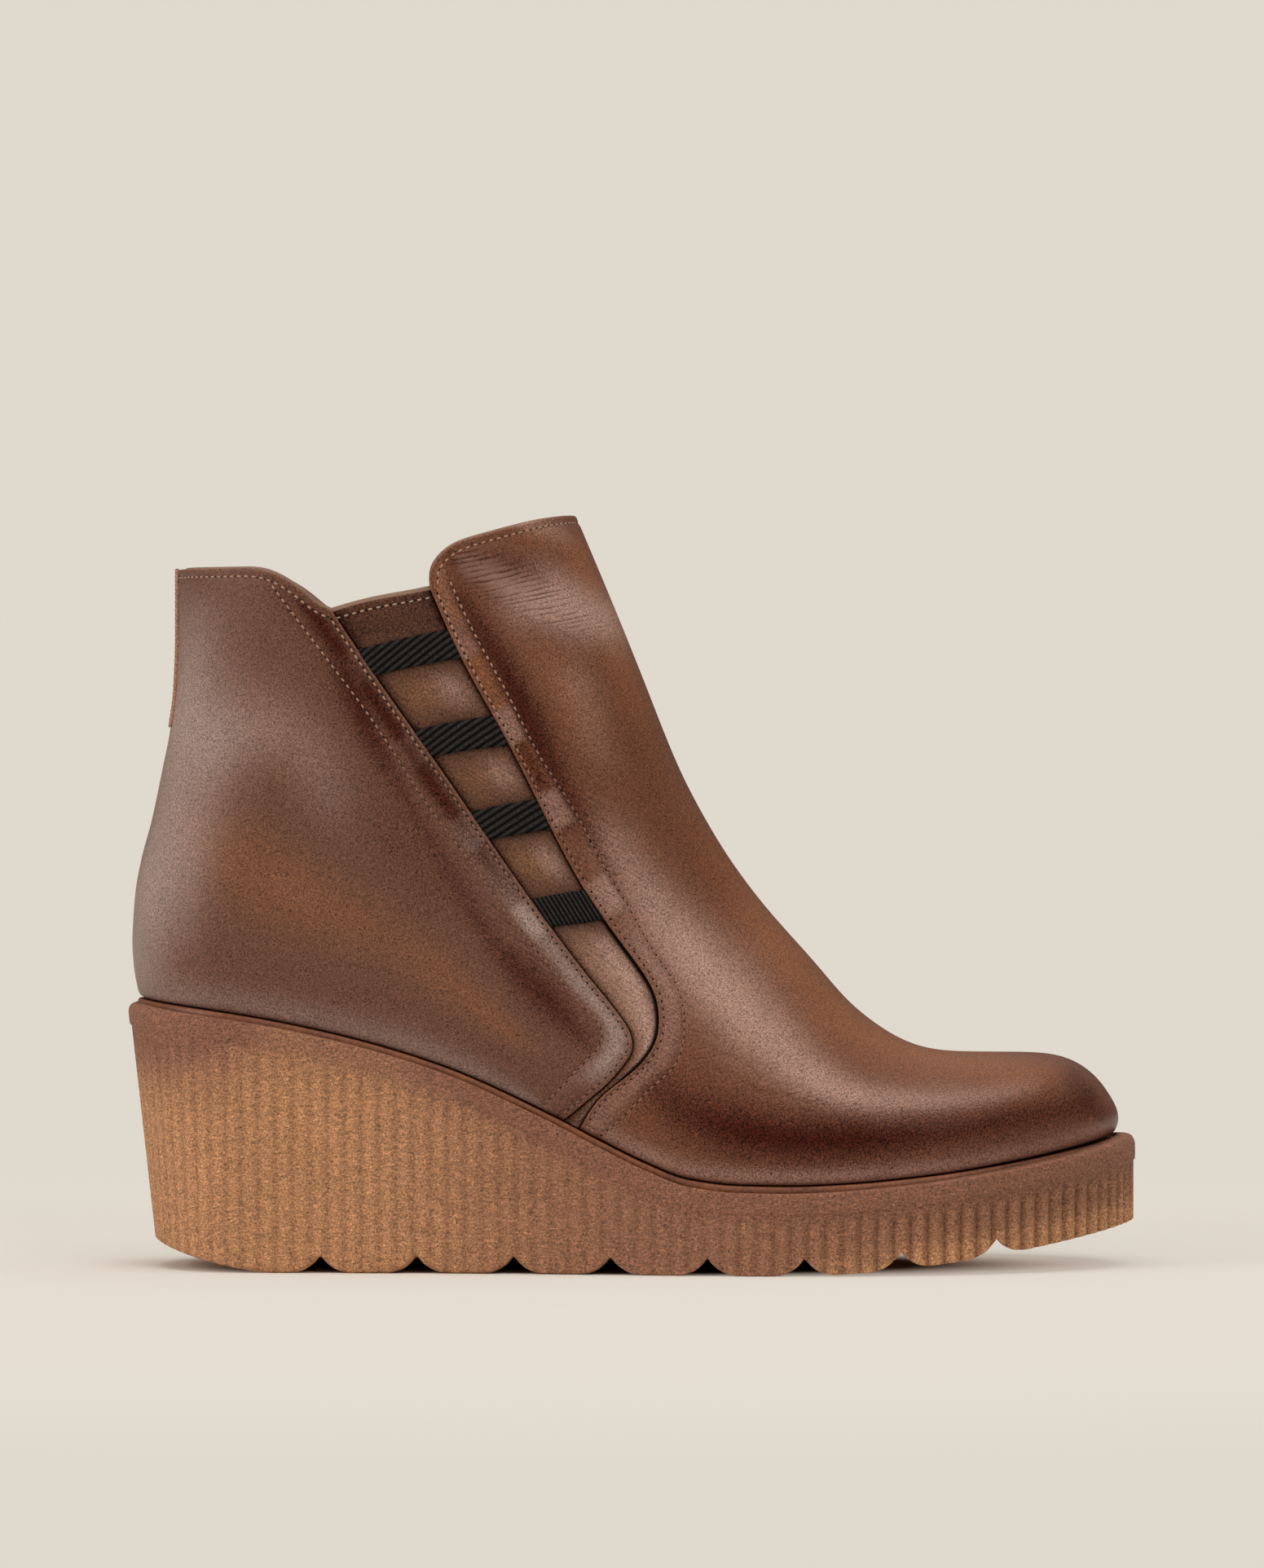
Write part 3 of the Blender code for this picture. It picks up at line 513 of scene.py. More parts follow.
# Creases across the front band beside the strap ends
bandCreases = [
    (.346, .998, .366, 1.006, .3, .50, .20), (.366, .930, .388, .945, .3, .45, .16),
    (.392, .838, .412, .852, .3, .50, .22), (.398, .820, .418, .832, .2, .45, .18),
    (.425, .752, .446, .762, .3, .50, .22), (.430, .738, .450, .745, .2, .45, .18),
    (.455, .660, .476, .668, .2, .45, .20), (.486, .588, .506, .598, .2, .50, .12),
]
# Tones of the vamp and the quarter as brush paths: along, height, half-width in mm and amount
vampTones = {
    # dark: a darker tone, burnish in part and painted shade in part
    "dark": [
        [(.52, .19, 7, .55), (.60, .13, 7, .95), (.75, .10, 5.5, .95), (.84, .10, 4.5, .75),
         (.96, .10, 4, .6)],                                                       # over the feather line: burnish and painted shade
        [(.33, 1.09, 3, .6), (.38, .95, 5, .9), (.42, .80, 5, .85), (.48, .62, 3, .3)],  # beside the front band
        [(.33, 1.17, 3, .5), (.40, 1.22, 3.5, .3)],                                # painted shade under the flap's collar
        [(.95, .16, 3, .35), (.98, .06, 2.5, .45)],                                # round the toe's end
        [(.53, .97, 8, .15), (.60, .70, 7, .15)]],                                 # shaft
    "tan": [
        [(.45, 1.32, 4.5, .6), (.48, 1.18, 5, .65), (.54, .92, 4.5, .3), (.61, .68, 5.5, .6),
         (.68, .46, 6.5, .7), (.75, .32, 6, .75), (.88, .22, 4.5, .6), (.93, .17, 3.5, .3)],  # instep to toe
        [(.39, 1.29, 3, .3), (.42, 1.33, 3, .4)],                                  # flap's corner
        [(.43, 1.02, 7, .35), (.45, .94, 7, .3)]],                                 # shaft's side
    # paintedSheen: painted highlights, sheen and reflection of the floor
    "paintedSheen": [
        [(.39, 1.13, 5, .5), (.43, 1.18, 7, 1), (.47, 1.20, 6, .9)],               # painted highlight on the flap
        [(.45, 1.01, 6, .25), (.47, .90, 5, .15)],
        [(.49, .68, 7, .45), (.53, .58, 8, .7), (.60, .43, 9, .8), (.65, .31, 7, .7),
         (.71, .21, 4, .7), (.78, .17, 3, .5), (.91, .16, 2, .1)],                 # long highlight
        [(.48, .02, 3, .3), (.70, .015, 2.4, .5), (.93, .02, 2.4, .35), (.98, .03, 2, .35)],  # reflected floor
        [(.39, 1.33, 2.5, .4), (.43, 1.35, 3, .35)]],                              # painted highlight under the collar's row
    "wrinkleFlat": [
        [(.34, 1.17, 5.5, .9), (.40, 1.17, 6.5, 1), (.46, 1.17, 5, .6)],
        [(.57, .30, 6, .4), (.66, .20, 5, .35), (.80, .15, 3, .2)]],
    "wrinkleRise": [
        [(.40, .92, 5, .3), (.45, .80, 5, .4), (.49, .68, 5, .5), (.53, .58, 5, .35)]],
}
quarterTones = {
    "dark": [
        [(.20, .93, 3.5, .6), (.23, .76, 4.5, .9), (.27, .60, 3, .5), (.32, .45, 3, .45),
         (.36, .34, 3.5, .55), (.41, .27, 5.5, .8), (.45, .22, 4, .6)],            # beside the rear band
        [(.15, .99, 3, .3), (.18, .92, 3, .4)],                                    # collar's dip
        [(.25, .53, 8, .2), (.30, .41, 8, .2)]],
    "tan": [
        [(.08, .39, 9, .35), (.14, .32, 9, .7), (.20, .28, 8, .55), (.28, .24, 7, .35),
         (.35, .17, 4.5, .45), (.39, .14, 3, .3)],                                 # heel's side
        [(.13, .73, 7, .25), (.16, .61, 7, .3)]],
    # paintedSheen: painted sheen along the back, painted reflection of the floor and painted highlight
    "paintedSheen": [
        [(.07, .98, 8, .05), (.05, .72, 9, .55), (.04, .50, 9.5, .55), (.02, .28, 9.5, .6),
         (.01, .09, 7.5, .45), (.02, .01, 5, .25)],                                # cool sheen along the back
        [(.05, .02, 5, .25), (.24, .01, 5, .3), (.33, 0, 5, .35), (.40, 0, 3, .3)],  # reflected floor
        [(.08, .63, 10, .3), (.16, .66, 9, .25), (.20, .55, 8, .15)]],
    "wrinkleFlat": [],
    "wrinkleRise": [[(.34, .40, 5, .5), (.42, .33, 5, .5)]],
}


# Place against a line from start to end: share along it, signed distance and the line's length
def beside(x, h, row):
    x0, h0, x1, h1 = (v * size for v, size in zip(row[:4], (last["length"], last["shaft"]) * 2))
    dx, dh = x1 - x0, h1 - h0
    length = math.hypot(dx, dh)
    t = ((x - x0) * dx + (h - h0) * dh) / length ** 2
    away = ((h - h0) * dx - (x - x0) * dh) / length
    return t, away, length


# Soft brush paths that cover one another: 1 minus the product of what each leaves free; width and amount
# run along each path
def strokes(x, h, paths):
    free = np.ones(x.shape)
    for rows in paths:
        rows = np.array(rows, float) * (last["length"], last["shaft"], .001, 1)
        line = curve(rows, 200)(np.linspace(0, 1, 24))
        distance, _, place = nearest(x, h, line[:, :2])
        width, amount = (np.interp(place, np.arange(len(line)), column) for column in line[:, 2:].T)
        free *= 1 - np.clip(amount, 0, 1) * bell(distance, width)
    return 1 - free


# Troughs with a soft ridge at one side, running out at both ends
def creaseRelief(x, h, rows):
    total = np.zeros(x.shape)
    for row in rows:
        t, away, length = beside(x, h, row)
        inside = np.clip(t, 0, 1)
        away = away - row[4] / 1000 * 4 * inside * (1 - inside)
        width = row[5] / 1000
        taper = np.sin(math.pi * inside) ** .7 * (t > 0) * (t < 1)
        total += row[6] / 1000 * taper * (.6 * bell(away - 1.7 * width, width) - bell(away, width))
    return total


# Boxes of a band where the strap ends lie under it, from the place along the edge
def strapLumps(place, across, edge, column):
    line = edgeLines[edge]
    step = np.linalg.norm(np.diff(line, axis=0), axis=1).mean()
    total = np.zeros(place.shape)
    for share in strapTable[column]:
        away = np.abs(place - share * (len(line) - 1)) * step
        total += ease((seams["lumpReach"] - away) / .0012)
    return total * ease(across / .2) * ease((1 - across) / .2)


# Everything drawn on one panel's outer side: relief, and the masks that its leather reads
def panelFields(x, h, edge, row, top, toEdge, puff, tones, strapColumn):
    z = h + featherHeight(x)
    dEdge, _, place = nearest(x, z, edgeLines[edge])
    dRow, side, _ = nearest(x, z, edgeLines[row])
    dTop = nearest(x, z, edgeLines[top])[0]
    inside = (side == toEdge) * ease(dTop / .003)
    across = np.clip(dEdge / np.maximum(dEdge + dRow, 1e-6), 0, 1)
    band = np.sin(math.pi * across) ** 1.2 * inside
    width = seams["troughWidth"]
    pulled = bell(dEdge - seams["edgeRow"], width) + bell(dRow, width) + bell(dTop - seams["collarRow"], width)
    lumps = strapLumps(place, across, edge, strapColumn) * inside
    relief = puff * band - seams["trough"] * np.clip(pulled, 0, 1.2)
    relief = relief + seams["strapLump"] * lumps
    masks = {name: strokes(x, h, rows) for name, rows in tones.items()}
    masks["rub"] = np.maximum(seams["edgeWear"][edge] * ease((.0005 - dEdge) / .0004),
                              .22 * ease((.0005 - dTop) / .0004))
    return relief, masks, {"band": band, "lumps": lumps, "inside": inside, "dRow": dRow, "dEdge": dEdge,
                           "dTop": dTop, "up": h / last["shaft"]}


# Masks for a grid joined from two sides of the boot
def joinMasks(first, second):
    return {name: np.concatenate([first[name], second[name]], axis=1).ravel() for name in first}


# A node with its settings; inputs give a socket's constant, or the socket that feeds it
def node(tree, kind, inputs=None, **settings):
    made = tree.nodes.new("ShaderNode" + kind)
    for name, value in settings.items():
        setattr(made, name, value)
    for name, value in (inputs or {}).items():
        if isinstance(value, bpy.types.NodeSocket):
            tree.links.new(value, made.inputs[name])
        else:
            made.inputs[name].default_value = value
    return made


def calc(tree, operation, a, b=0.0, clamp=False):
    return node(tree, "Math", {0: a, 1: b}, operation=operation, use_clamp=clamp).outputs[0]


# A colour between two others
def blendColour(tree, share, a, b):
    return node(tree, "Mix", {0: share, 6: a, 7: b}, data_type="RGBA").outputs[2]


# A shader node group: inputs and outputs are (name, socket type, default)
def nodeGroup(name, inputs, outputs):
    tree = bpy.data.node_groups.new(name, "ShaderNodeTree")
    for label, kind, value in inputs:
        socket = tree.interface.new_socket(label, in_out="INPUT", socket_type="NodeSocket" + kind)
        if value is not None:
            socket.default_value = value
    for label, kind in outputs:
        tree.interface.new_socket(label, in_out="OUTPUT", socket_type="NodeSocket" + kind)
    return tree, tree.nodes.new("NodeGroupInput").outputs, tree.nodes.new("NodeGroupOutput").inputs


# Pebbled grain: cell edges and two noises as one height, turned into a normal
def grainGroup():
    tree, given, result = nodeGroup(
        "leatherGrain",
        [("Vector", "Vector", None), ("Cells", "Float", 1300.0), ("Depth", "Float", .00006),
         ("Crumple", "Float", 0.0), ("Normal", "Vector", None)],
        [("Normal", "Vector")])
    bent = node(tree, "TexNoise", {"Vector": given["Vector"], "Scale": 500.0, "Detail": 1.0})
    offset = node(tree, "VectorMath", {0: bent.outputs["Color"], 1: (.0009, .0009, .0009)},
                  operation="MULTIPLY").outputs[0]
    moved = node(tree, "VectorMath", {0: given["Vector"], 1: offset}, operation="ADD").outputs[0]
    cells = node(tree, "TexVoronoi", {"Vector": moved, "Scale": given["Cells"]}, feature="SMOOTH_F1")
    pores = node(tree, "TexNoise", {"Vector": given["Vector"], "Scale": 3200.0, "Detail": 2.0})
    broad = node(tree, "TexNoise", {"Vector": given["Vector"], "Scale": 420.0, "Detail": 3.0,
                                    "Roughness": .6})
    pebble = calc(tree, "SUBTRACT", 1.0, cells.outputs["Distance"])
    height = calc(tree, "ADD", calc(tree, "MULTIPLY", pebble, .7),
                  calc(tree, "MULTIPLY", pores.outputs["Fac"], .35))
    height = calc(tree, "ADD", height, calc(tree, "MULTIPLY", broad.outputs["Fac"], given["Crumple"]))
    bump = node(tree, "Bump", {"Strength": 1.0, "Distance": given["Depth"], "Height": height,
                               "Normal": given["Normal"]})
    tree.links.new(bump.outputs["Normal"], result["Normal"])
    return tree


# Patchy value round 0.5: a broad noise with a finer one over it
def mottleGroup():
    tree, given, result = nodeGroup(
        "mottle", [("Vector", "Vector", None), ("Broad", "Float", 40.0), ("Fine", "Float", 1500.0),
                   ("Fineness", "Float", .3)], [("Value", "Float")])
    broad = node(tree, "TexNoise", {"Vector": given["Vector"], "Scale": given["Broad"], "Detail": 3.0})
    fine = node(tree, "TexNoise", {"Vector": given["Vector"], "Scale": given["Fine"], "Detail": 2.0})
    value = node(tree, "Mix", {0: given["Fineness"], 2: broad.outputs["Fac"], 3: fine.outputs["Fac"]})
    tree.links.new(value.outputs[0], result["Value"])
    return tree


# A mask made patchy and firmer: the mask plus a share of a mottle's swing, sharpened
def patchyGroup():
    tree, given, result = nodeGroup(
        "patchyMask", [("Mask", "Float", 0.0), ("Mottle", "Float", .5), ("Swing", "Float", .5)],
        [("Mask", "Float")])
    swing = calc(tree, "MULTIPLY", calc(tree, "SUBTRACT", given["Mottle"], .5), given["Swing"])
    spread = calc(tree, "MULTIPLY", calc(tree, "MULTIPLY", given["Mask"],
                                         calc(tree, "SUBTRACT", 1.0, given["Mask"])), 4.0)
    mask = calc(tree, "ADD", given["Mask"], calc(tree, "MULTIPLY", swing, spread), clamp=True)
    tree.links.new(mask, result["Mask"])
    return tree


# Fine creases that run one way in the side view: a rectified sine across them, wandering and broken by noises;
# its valleys are the creases
def wrinkleGroup():
    tree, given, result = nodeGroup(
        "wrinkles", [("Vector", "Vector", None), ("Angle", "Float", 0.0), ("Mask", "Float", 0.0),
                     ("Spacing", "Float", .0012)],
        [("Height", "Float")])
    turned = node(tree, "VectorRotate", {"Vector": given["Vector"], "Angle": given["Angle"]},
                  rotation_type="Y_AXIS").outputs[0]
    drawn = node(tree, "VectorMath", {0: turned, 1: (45.0, 45.0, 160.0)}, operation="MULTIPLY").outputs[0]
    bend = node(tree, "TexNoise", {"Vector": drawn, "Scale": 1.0, "Detail": 2.0}).outputs["Fac"]
    across = node(tree, "SeparateXYZ", {0: turned}).outputs["Z"]
    phase = calc(tree, "ADD", calc(tree, "DIVIDE", across, given["Spacing"]), calc(tree, "MULTIPLY", bend, 2.4))
    wave = calc(tree, "ABSOLUTE", calc(tree, "SINE", calc(tree, "MULTIPLY", phase, math.pi)))
    ridge = calc(tree, "POWER", wave, .55)
    streaks = node(tree, "VectorMath", {0: turned, 1: (130.0, 130.0, 700.0)}, operation="MULTIPLY").outputs[0]
    broken = node(tree, "TexNoise", {"Vector": streaks, "Scale": 1.0, "Detail": 2.0}).outputs["Fac"]
    amount = calc(tree, "MULTIPLY", calc(tree, "SUBTRACT", broken, .33), 3.5, clamp=True)
    depth = calc(tree, "MULTIPLY", amount, calc(tree, "SUBTRACT", 1.0, ridge))
    height = calc(tree, "MULTIPLY", calc(tree, "SUBTRACT", 1.0, depth), given["Mask"])
    tree.links.new(height, result["Height"])
    return tree


groups = {"grain": grainGroup(), "mottle": mottleGroup(), "patchy": patchyGroup(), "wrinkle": wrinkleGroup()}


def useGroup(tree, name, inputs):
    made = tree.nodes.new("ShaderNodeGroup")
    made.node_tree = groups[name]
    for label, value in inputs.items():
        if isinstance(value, bpy.types.NodeSocket):
            tree.links.new(value, made.inputs[label])
        else:
            made.inputs[label].default_value = value
    return made.outputs


def newMaterial(name):
    made = bpy.data.materials.new(name)
    made.use_nodes = True
    tree = made.node_tree
    return made, tree, tree.nodes["Principled BSDF"], node(tree, "TexCoord").outputs["Object"]


def feed(tree, shader, values):
    for name, value in values.items():
        if isinstance(value, bpy.types.NodeSocket):
            tree.links.new(value, shader.inputs[name])
        else:
            shader.inputs[name].default_value = value


def attribute(tree, name):
    return node(tree, "Attribute", attribute_name=name).outputs["Fac"]


leather = {
    "mid": (.152, .055, .029, 1),
    "tan": (.262, .098, .040, 1),
    # dark: burnish, and painted shade where the masks lay it in shade
    "dark": (.046, .0080, .0042, 1),
    "paintedSheen": (.420, .255, .200, 1),      # painted sheen, highlight and reflection, greyish pink
    "rub": (.420, .210, .120, 1),        # bare edges
    "gap": (.004, .0018, .0014, 1),      # painted shadow under a lifted panel edge
    "roughness": .40,
    "speckle": 1.15,
    "grainDepth": .00009,
    "cells": 1150.0,
    "wrinkleDepth": .00035,
    "gloss": .20,
}


# Leather: masks on the points choose between its tones, each made patchy by a mottle; dark is burnish and
# painted shade, paintedSheen is painted highlight and reflection, gap is painted shadow
def leatherMaterial(name, values):
    made, tree, shader, place = newMaterial(name)
    mottle = useGroup(tree, "mottle", {"Vector": place, "Broad": 55.0, "Fine": 900.0, "Fineness": .35})["Value"]
    speckle = useGroup(tree, "mottle", {"Vector": place, "Broad": 2300.0, "Fine": 3700.0,
                                        "Fineness": .5})["Value"]

    def patchy(label, swing):
        return useGroup(tree, "patchy", {"Mask": attribute(tree, label), "Mottle": mottle,
                                         "Swing": swing})["Mask"]

    colour = blendColour(tree, patchy("tan", .7), values["mid"], values["tan"])
    colour = blendColour(tree, patchy("paintedSheen", .4), colour, values["paintedSheen"])
    colour = blendColour(tree, patchy("dark", .5), colour, values["dark"])
    colour = blendColour(tree, attribute(tree, "rub"), colour, values["rub"])
    colour = blendColour(tree, attribute(tree, "gap"), colour, values["gap"])
    firm = calc(tree, "MULTIPLY", calc(tree, "ADD", calc(tree, "MULTIPLY", attribute(tree, "dark"), 1.1), 1.0),
                values["speckle"] * 4)
    shade = calc(tree, "ADD", calc(tree, "MULTIPLY", calc(tree, "SUBTRACT", speckle, .5), firm), 1.0)
    shade = calc(tree, "MAXIMUM", shade, .15)
    colour = node(tree, "VectorMath", {0: colour, 3: shade}, operation="SCALE").outputs[0]
    flat = useGroup(tree, "wrinkle", {"Vector": place, "Angle": math.radians(12),
                                      "Mask": attribute(tree, "wrinkleFlat")})["Height"]
    rise = useGroup(tree, "wrinkle", {"Vector": place, "Angle": math.radians(-32),
                                      "Mask": attribute(tree, "wrinkleRise")})["Height"]
    height = calc(tree, "ADD", flat, rise)
    wrinkled = calc(tree, "ADD", attribute(tree, "wrinkleFlat"), attribute(tree, "wrinkleRise"))
    # painted shade in the wrinkles' valleys and painted highlight on their ridges
    valleys = calc(tree, "MULTIPLY", calc(tree, "SUBTRACT", wrinkled, height), .8, clamp=True)
    ridges = calc(tree, "MULTIPLY", calc(tree, "SUBTRACT", height, .45), .8, clamp=True)
    colour = blendColour(tree, valleys, colour, values["dark"])
    colour = blendColour(tree, ridges, colour, values["paintedSheen"])
    folds = node(tree, "Bump", {"Strength": 1.0, "Distance": values["wrinkleDepth"],
                                "Height": height}).outputs["Normal"]
    grain = useGroup(tree, "grain", {"Vector": place, "Cells": values["cells"],
                                     "Depth": values["grainDepth"], "Crumple": .9, "Normal": folds})
    rough = calc(tree, "ADD", calc(tree, "MULTIPLY", calc(tree, "SUBTRACT", mottle, .5), .35),
                 values["roughness"], clamp=True)
    matt = calc(tree, "ADD", calc(tree, "MULTIPLY", patchy("dark", .5), .6),
                calc(tree, "MULTIPLY", patchy("tan", .7), .55))
    shine = calc(tree, "SUBTRACT", 1.0, matt, clamp=True)
    feed(tree, shader, {"Base Color": colour, "Roughness": rough, "Normal": grain["Normal"],
                        "Specular IOR Level": calc(tree, "MULTIPLY", values["gloss"], shine),
                        "Specular Tint": (1, .86, .78, 1)})
    return made


crepe = {
    "amber": (.570, .278, .130, 1),
    # deep: painted shade in the rib grooves
    "deep": (.185, .074, .036, 1),
    "mauve": (.285, .122, .070, 1),
    "roughness": .72,
    "speckle": 1.0,
}


# Crepe rubber: speckled amber, mauve-brown on the band and towards the toe, with painted shade in the grooves
# and in the wrinkles' hollows
def crepeMaterial():
    made, tree, shader, place = newMaterial("crepeRubber")
    mottle = useGroup(tree, "mottle", {"Vector": place, "Broad": 60.0, "Fine": 1300.0,
                                       "Fineness": .45})["Value"]
    speckle = useGroup(tree, "mottle", {"Vector": place, "Broad": 1900.0, "Fine": 3300.0,
                                        "Fineness": .5})["Value"]
    mauve = useGroup(tree, "patchy", {"Mask": attribute(tree, "mauve"), "Mottle": mottle, "Swing": .8})["Mask"]
    colour = blendColour(tree, mauve, crepe["amber"], crepe["mauve"])
    # painted shade in the rib grooves
    groove = calc(tree, "MULTIPLY", attribute(tree, "groove"), .8, clamp=True)
    colour = blendColour(tree, groove, colour, crepe["deep"])
    shade = calc(tree, "ADD", calc(tree, "MULTIPLY", calc(tree, "SUBTRACT", speckle, .5),
                                   crepe["speckle"] * 4), 1.0)
    colour = node(tree, "VectorMath", {0: colour, 3: shade}, operation="SCALE").outputs[0]
    flattened = node(tree, "Mapping", {"Vector": place, "Scale": (1, 1, 3.2)}).outputs[0]
    wrinkle = node(tree, "TexNoise", {"Vector": flattened, "Scale": 620.0, "Detail": 4.0,
                                      "Roughness": .65, "Distortion": 1.2})
    pits = node(tree, "TexNoise", {"Vector": place, "Scale": 2600.0, "Detail": 2.0})
    height = calc(tree, "ADD", calc(tree, "MULTIPLY", wrinkle.outputs["Fac"], 1.0),
                  calc(tree, "MULTIPLY", pits.outputs["Fac"], .4))
    # colour follows the wrinkle noise of the bump: painted shade in its hollows, painted highlight on its tops
    folds = calc(tree, "MULTIPLY", calc(tree, "SUBTRACT", wrinkle.outputs["Fac"], .5), 1.7)
    folds = calc(tree, "ADD", folds, 1.0)
    colour = node(tree, "VectorMath", {0: colour, 3: folds}, operation="SCALE").outputs[0]
    bump = node(tree, "Bump", {"Strength": 1.0, "Distance": .00055, "Height": height})
    feed(tree, shader, {"Base Color": colour, "Roughness": crepe["roughness"],
                        "Normal": bump.outputs["Normal"], "Subsurface Weight": .12,
                        "Subsurface Radius": (.004, .002, .001), "Subsurface Scale": .4,
                        "Specular IOR Level": .35})
    return made


# Matte black elastic with fuzz, and painted highlight on the crests of its twill ribs
def strapMaterial():
    made, tree, shader, place = newMaterial("blackElastic")
    fuzz = node(tree, "TexNoise", {"Vector": place, "Scale": 4200.0, "Detail": 3.0, "Roughness": .7})
    uneven = calc(tree, "MULTIPLY", calc(tree, "SUBTRACT", fuzz.outputs["Fac"], .35), 2.4, clamp=True)
    # lighter on the ribs' crests: painted highlight
    light = calc(tree, "MULTIPLY", attribute(tree, "crest"), uneven)
    colour = blendColour(tree, light, (.0016, .0013, .0013, 1), (.085, .074, .070, 1))
    bump = node(tree, "Bump", {"Strength": 1.0, "Distance": .00008, "Height": fuzz.outputs["Fac"]})
    feed(tree, shader, {"Base Color": colour, "Roughness": .85, "Normal": bump.outputs["Normal"],
                        "Specular IOR Level": .06})
    return made


# A plain finish with a fine mottle between two colours
def simpleMaterial(name, light, dark, roughness, fine=1200.0, depth=.00004):
    made, tree, shader, place = newMaterial(name)
    mottle = useGroup(tree, "mottle", {"Vector": place, "Broad": 90.0, "Fine": fine, "Fineness": .5})["Value"]
    share = calc(tree, "ADD", calc(tree, "MULTIPLY", calc(tree, "SUBTRACT", mottle, .5), 3.0), .5, clamp=True)
    grain = useGroup(tree, "grain", {"Vector": place, "Depth": depth})
    feed(tree, shader, {"Base Color": blendColour(tree, share, (*dark, 1), (*light, 1)),
                        "Roughness": roughness, "Normal": grain["Normal"]})
    return made


# Waxed thread, paler high up on the shaft
def threadMaterial():
    made, tree, shader, place = newMaterial("seamThread")
    colour = blendColour(tree, attribute(tree, "light"), (.22, .105, .068, 1), (.38, .225, .150, 1))
    feed(tree, shader, {"Base Color": colour, "Roughness": .7})
    return made


leatherFinish = leatherMaterial("vampLeather", leather)
# the quarter's painted sheen is cooler and greyer
quarterFinish = leatherMaterial("quarterLeather", {
    **leather, "mid": (.136, .059, .037, 1), "tan": (.235, .095, .046, 1), "paintedSheen": (.420, .312, .270, 1),
    "roughness": .43, "speckle": 1.1})
gussetFinish = leatherMaterial("gussetLeather", {
    **leather, "mid": (.108, .047, .027, 1), "tan": (.215, .098, .050, 1), "dark": (.036, .011, .007, 1),
    "roughness": .55, "grainDepth": .00006, "gloss": .20})
stripFinish = leatherMaterial("backStripLeather", {**leather, "roughness": .5})
liningFinish = simpleMaterial("liningLeather", (.25, .135, .085), (.18, .095, .058), .65)
strapFinish = strapMaterial()
plateFinish = simpleMaterial("midsoleEdge", (.30, .095, .030), (.10, .028, .012), .5)
crepeFinish = crepeMaterial()
insoleFinish = simpleMaterial("insoleLeather", (.46, .31, .19), (.37, .24, .14), .7)
threadFinish = threadMaterial()
# near-black cones over the needle holes: painted shade
holeShadeFinish = simpleMaterial("needleHoleShade", (.008, .0025, .002), (.004, .0015, .001), 1.0)


# Relief, masks and places of the vamp's outer side
def vampFields(x, h):
    relief, masks, at = panelFields(x, h, "frontEdge", "frontRow", "frontTop", -1, seams["frontPuff"],
                                    vampTones, "front")
    relief = relief + creaseRelief(x, h, creases) * (1 - at["inside"]) + creaseRelief(x, h, bandCreases)
    return relief, masks, at


def quarterFields(x, h):
    return panelFields(x, h, "rearEdge", "rearRow", "rearTop", 1, seams["rearPuff"], quarterTones, "rear")


# Vamp: outer side from the cut edge round the front profile to the inner side's seam
def makeVamp():
    t, rowDepth = panelRows(upperRows)
    x, h, depth = panelGrid(patches["front"], round(145 * finer), t, True)
    relief, masks, at = vampFields(x, h)
    band, up = at["band"], at["up"]
    masks["tan"] = np.maximum(masks["tan"], band * .6 * ease((up - .62) / .2) * (1 - at["lumps"]))
    masks["dark"] = np.maximum(masks["dark"] * (1 - .8 * band),
                               band * .75 * ease((.9 - up) / .1) * ease((up - .62) / .1) * (1 - at["lumps"]))
    # painted highlight on the strap lumps and towards the band's low and high ends
    masks["paintedSheen"] = np.clip(masks["paintedSheen"] + .42 * at["lumps"] * ease((1.05 - up) / .12)
                             + .25 * band * ease((.55 - up) / .1) + .12 * band * ease((up - .98) / .08), 0, 1)
    masks["wrinkleRise"] = np.maximum(masks["wrinkleRise"], band * .5)
    outer = skin(x, h, False, np.maximum(depth[None], rowDepth[:, None]) - relief, -1)[0]
    x, h, depth = panelGrid(patches["innerFront"], round(90 * finer), t, True)
    innerMasks = innerTones(x, h, "innerTop")
    relief = innerRelief(x, h, "innerTop")
    inner = skin(x, h, True, np.maximum(depth[None], rowDepth[:, None]) - relief, -1)[0]
    grid = np.concatenate([outer, inner[:, ::-1][:, 1:]], axis=1)
    masks = joinMasks(masks, {name: mask[:, ::-1][:, 1:] for name, mask in innerMasks.items()})
    return part(makeMesh("vampLeather", grid.reshape(-1, 3), [gridFaces(*grid.shape[:2])], leatherFinish,
                         masks), "leather", "vamp")


# Inner side: a plain butt seam with a stitch row at either side, and the collar's row
def innerRelief(x, h, top):
    z = h + featherHeight(x)
    dEdge = nearest(x, z, edgeLines["rearEdge"])[0]
    dTop = nearest(x, z, edgeLines[top])[0]
    width = seams["troughWidth"]
    pulled = bell(dEdge - seams["innerRow"], width) + bell(dTop - seams["collarRow"], width)
    return -seams["trough"] * np.clip(pulled, 0, 1.2)


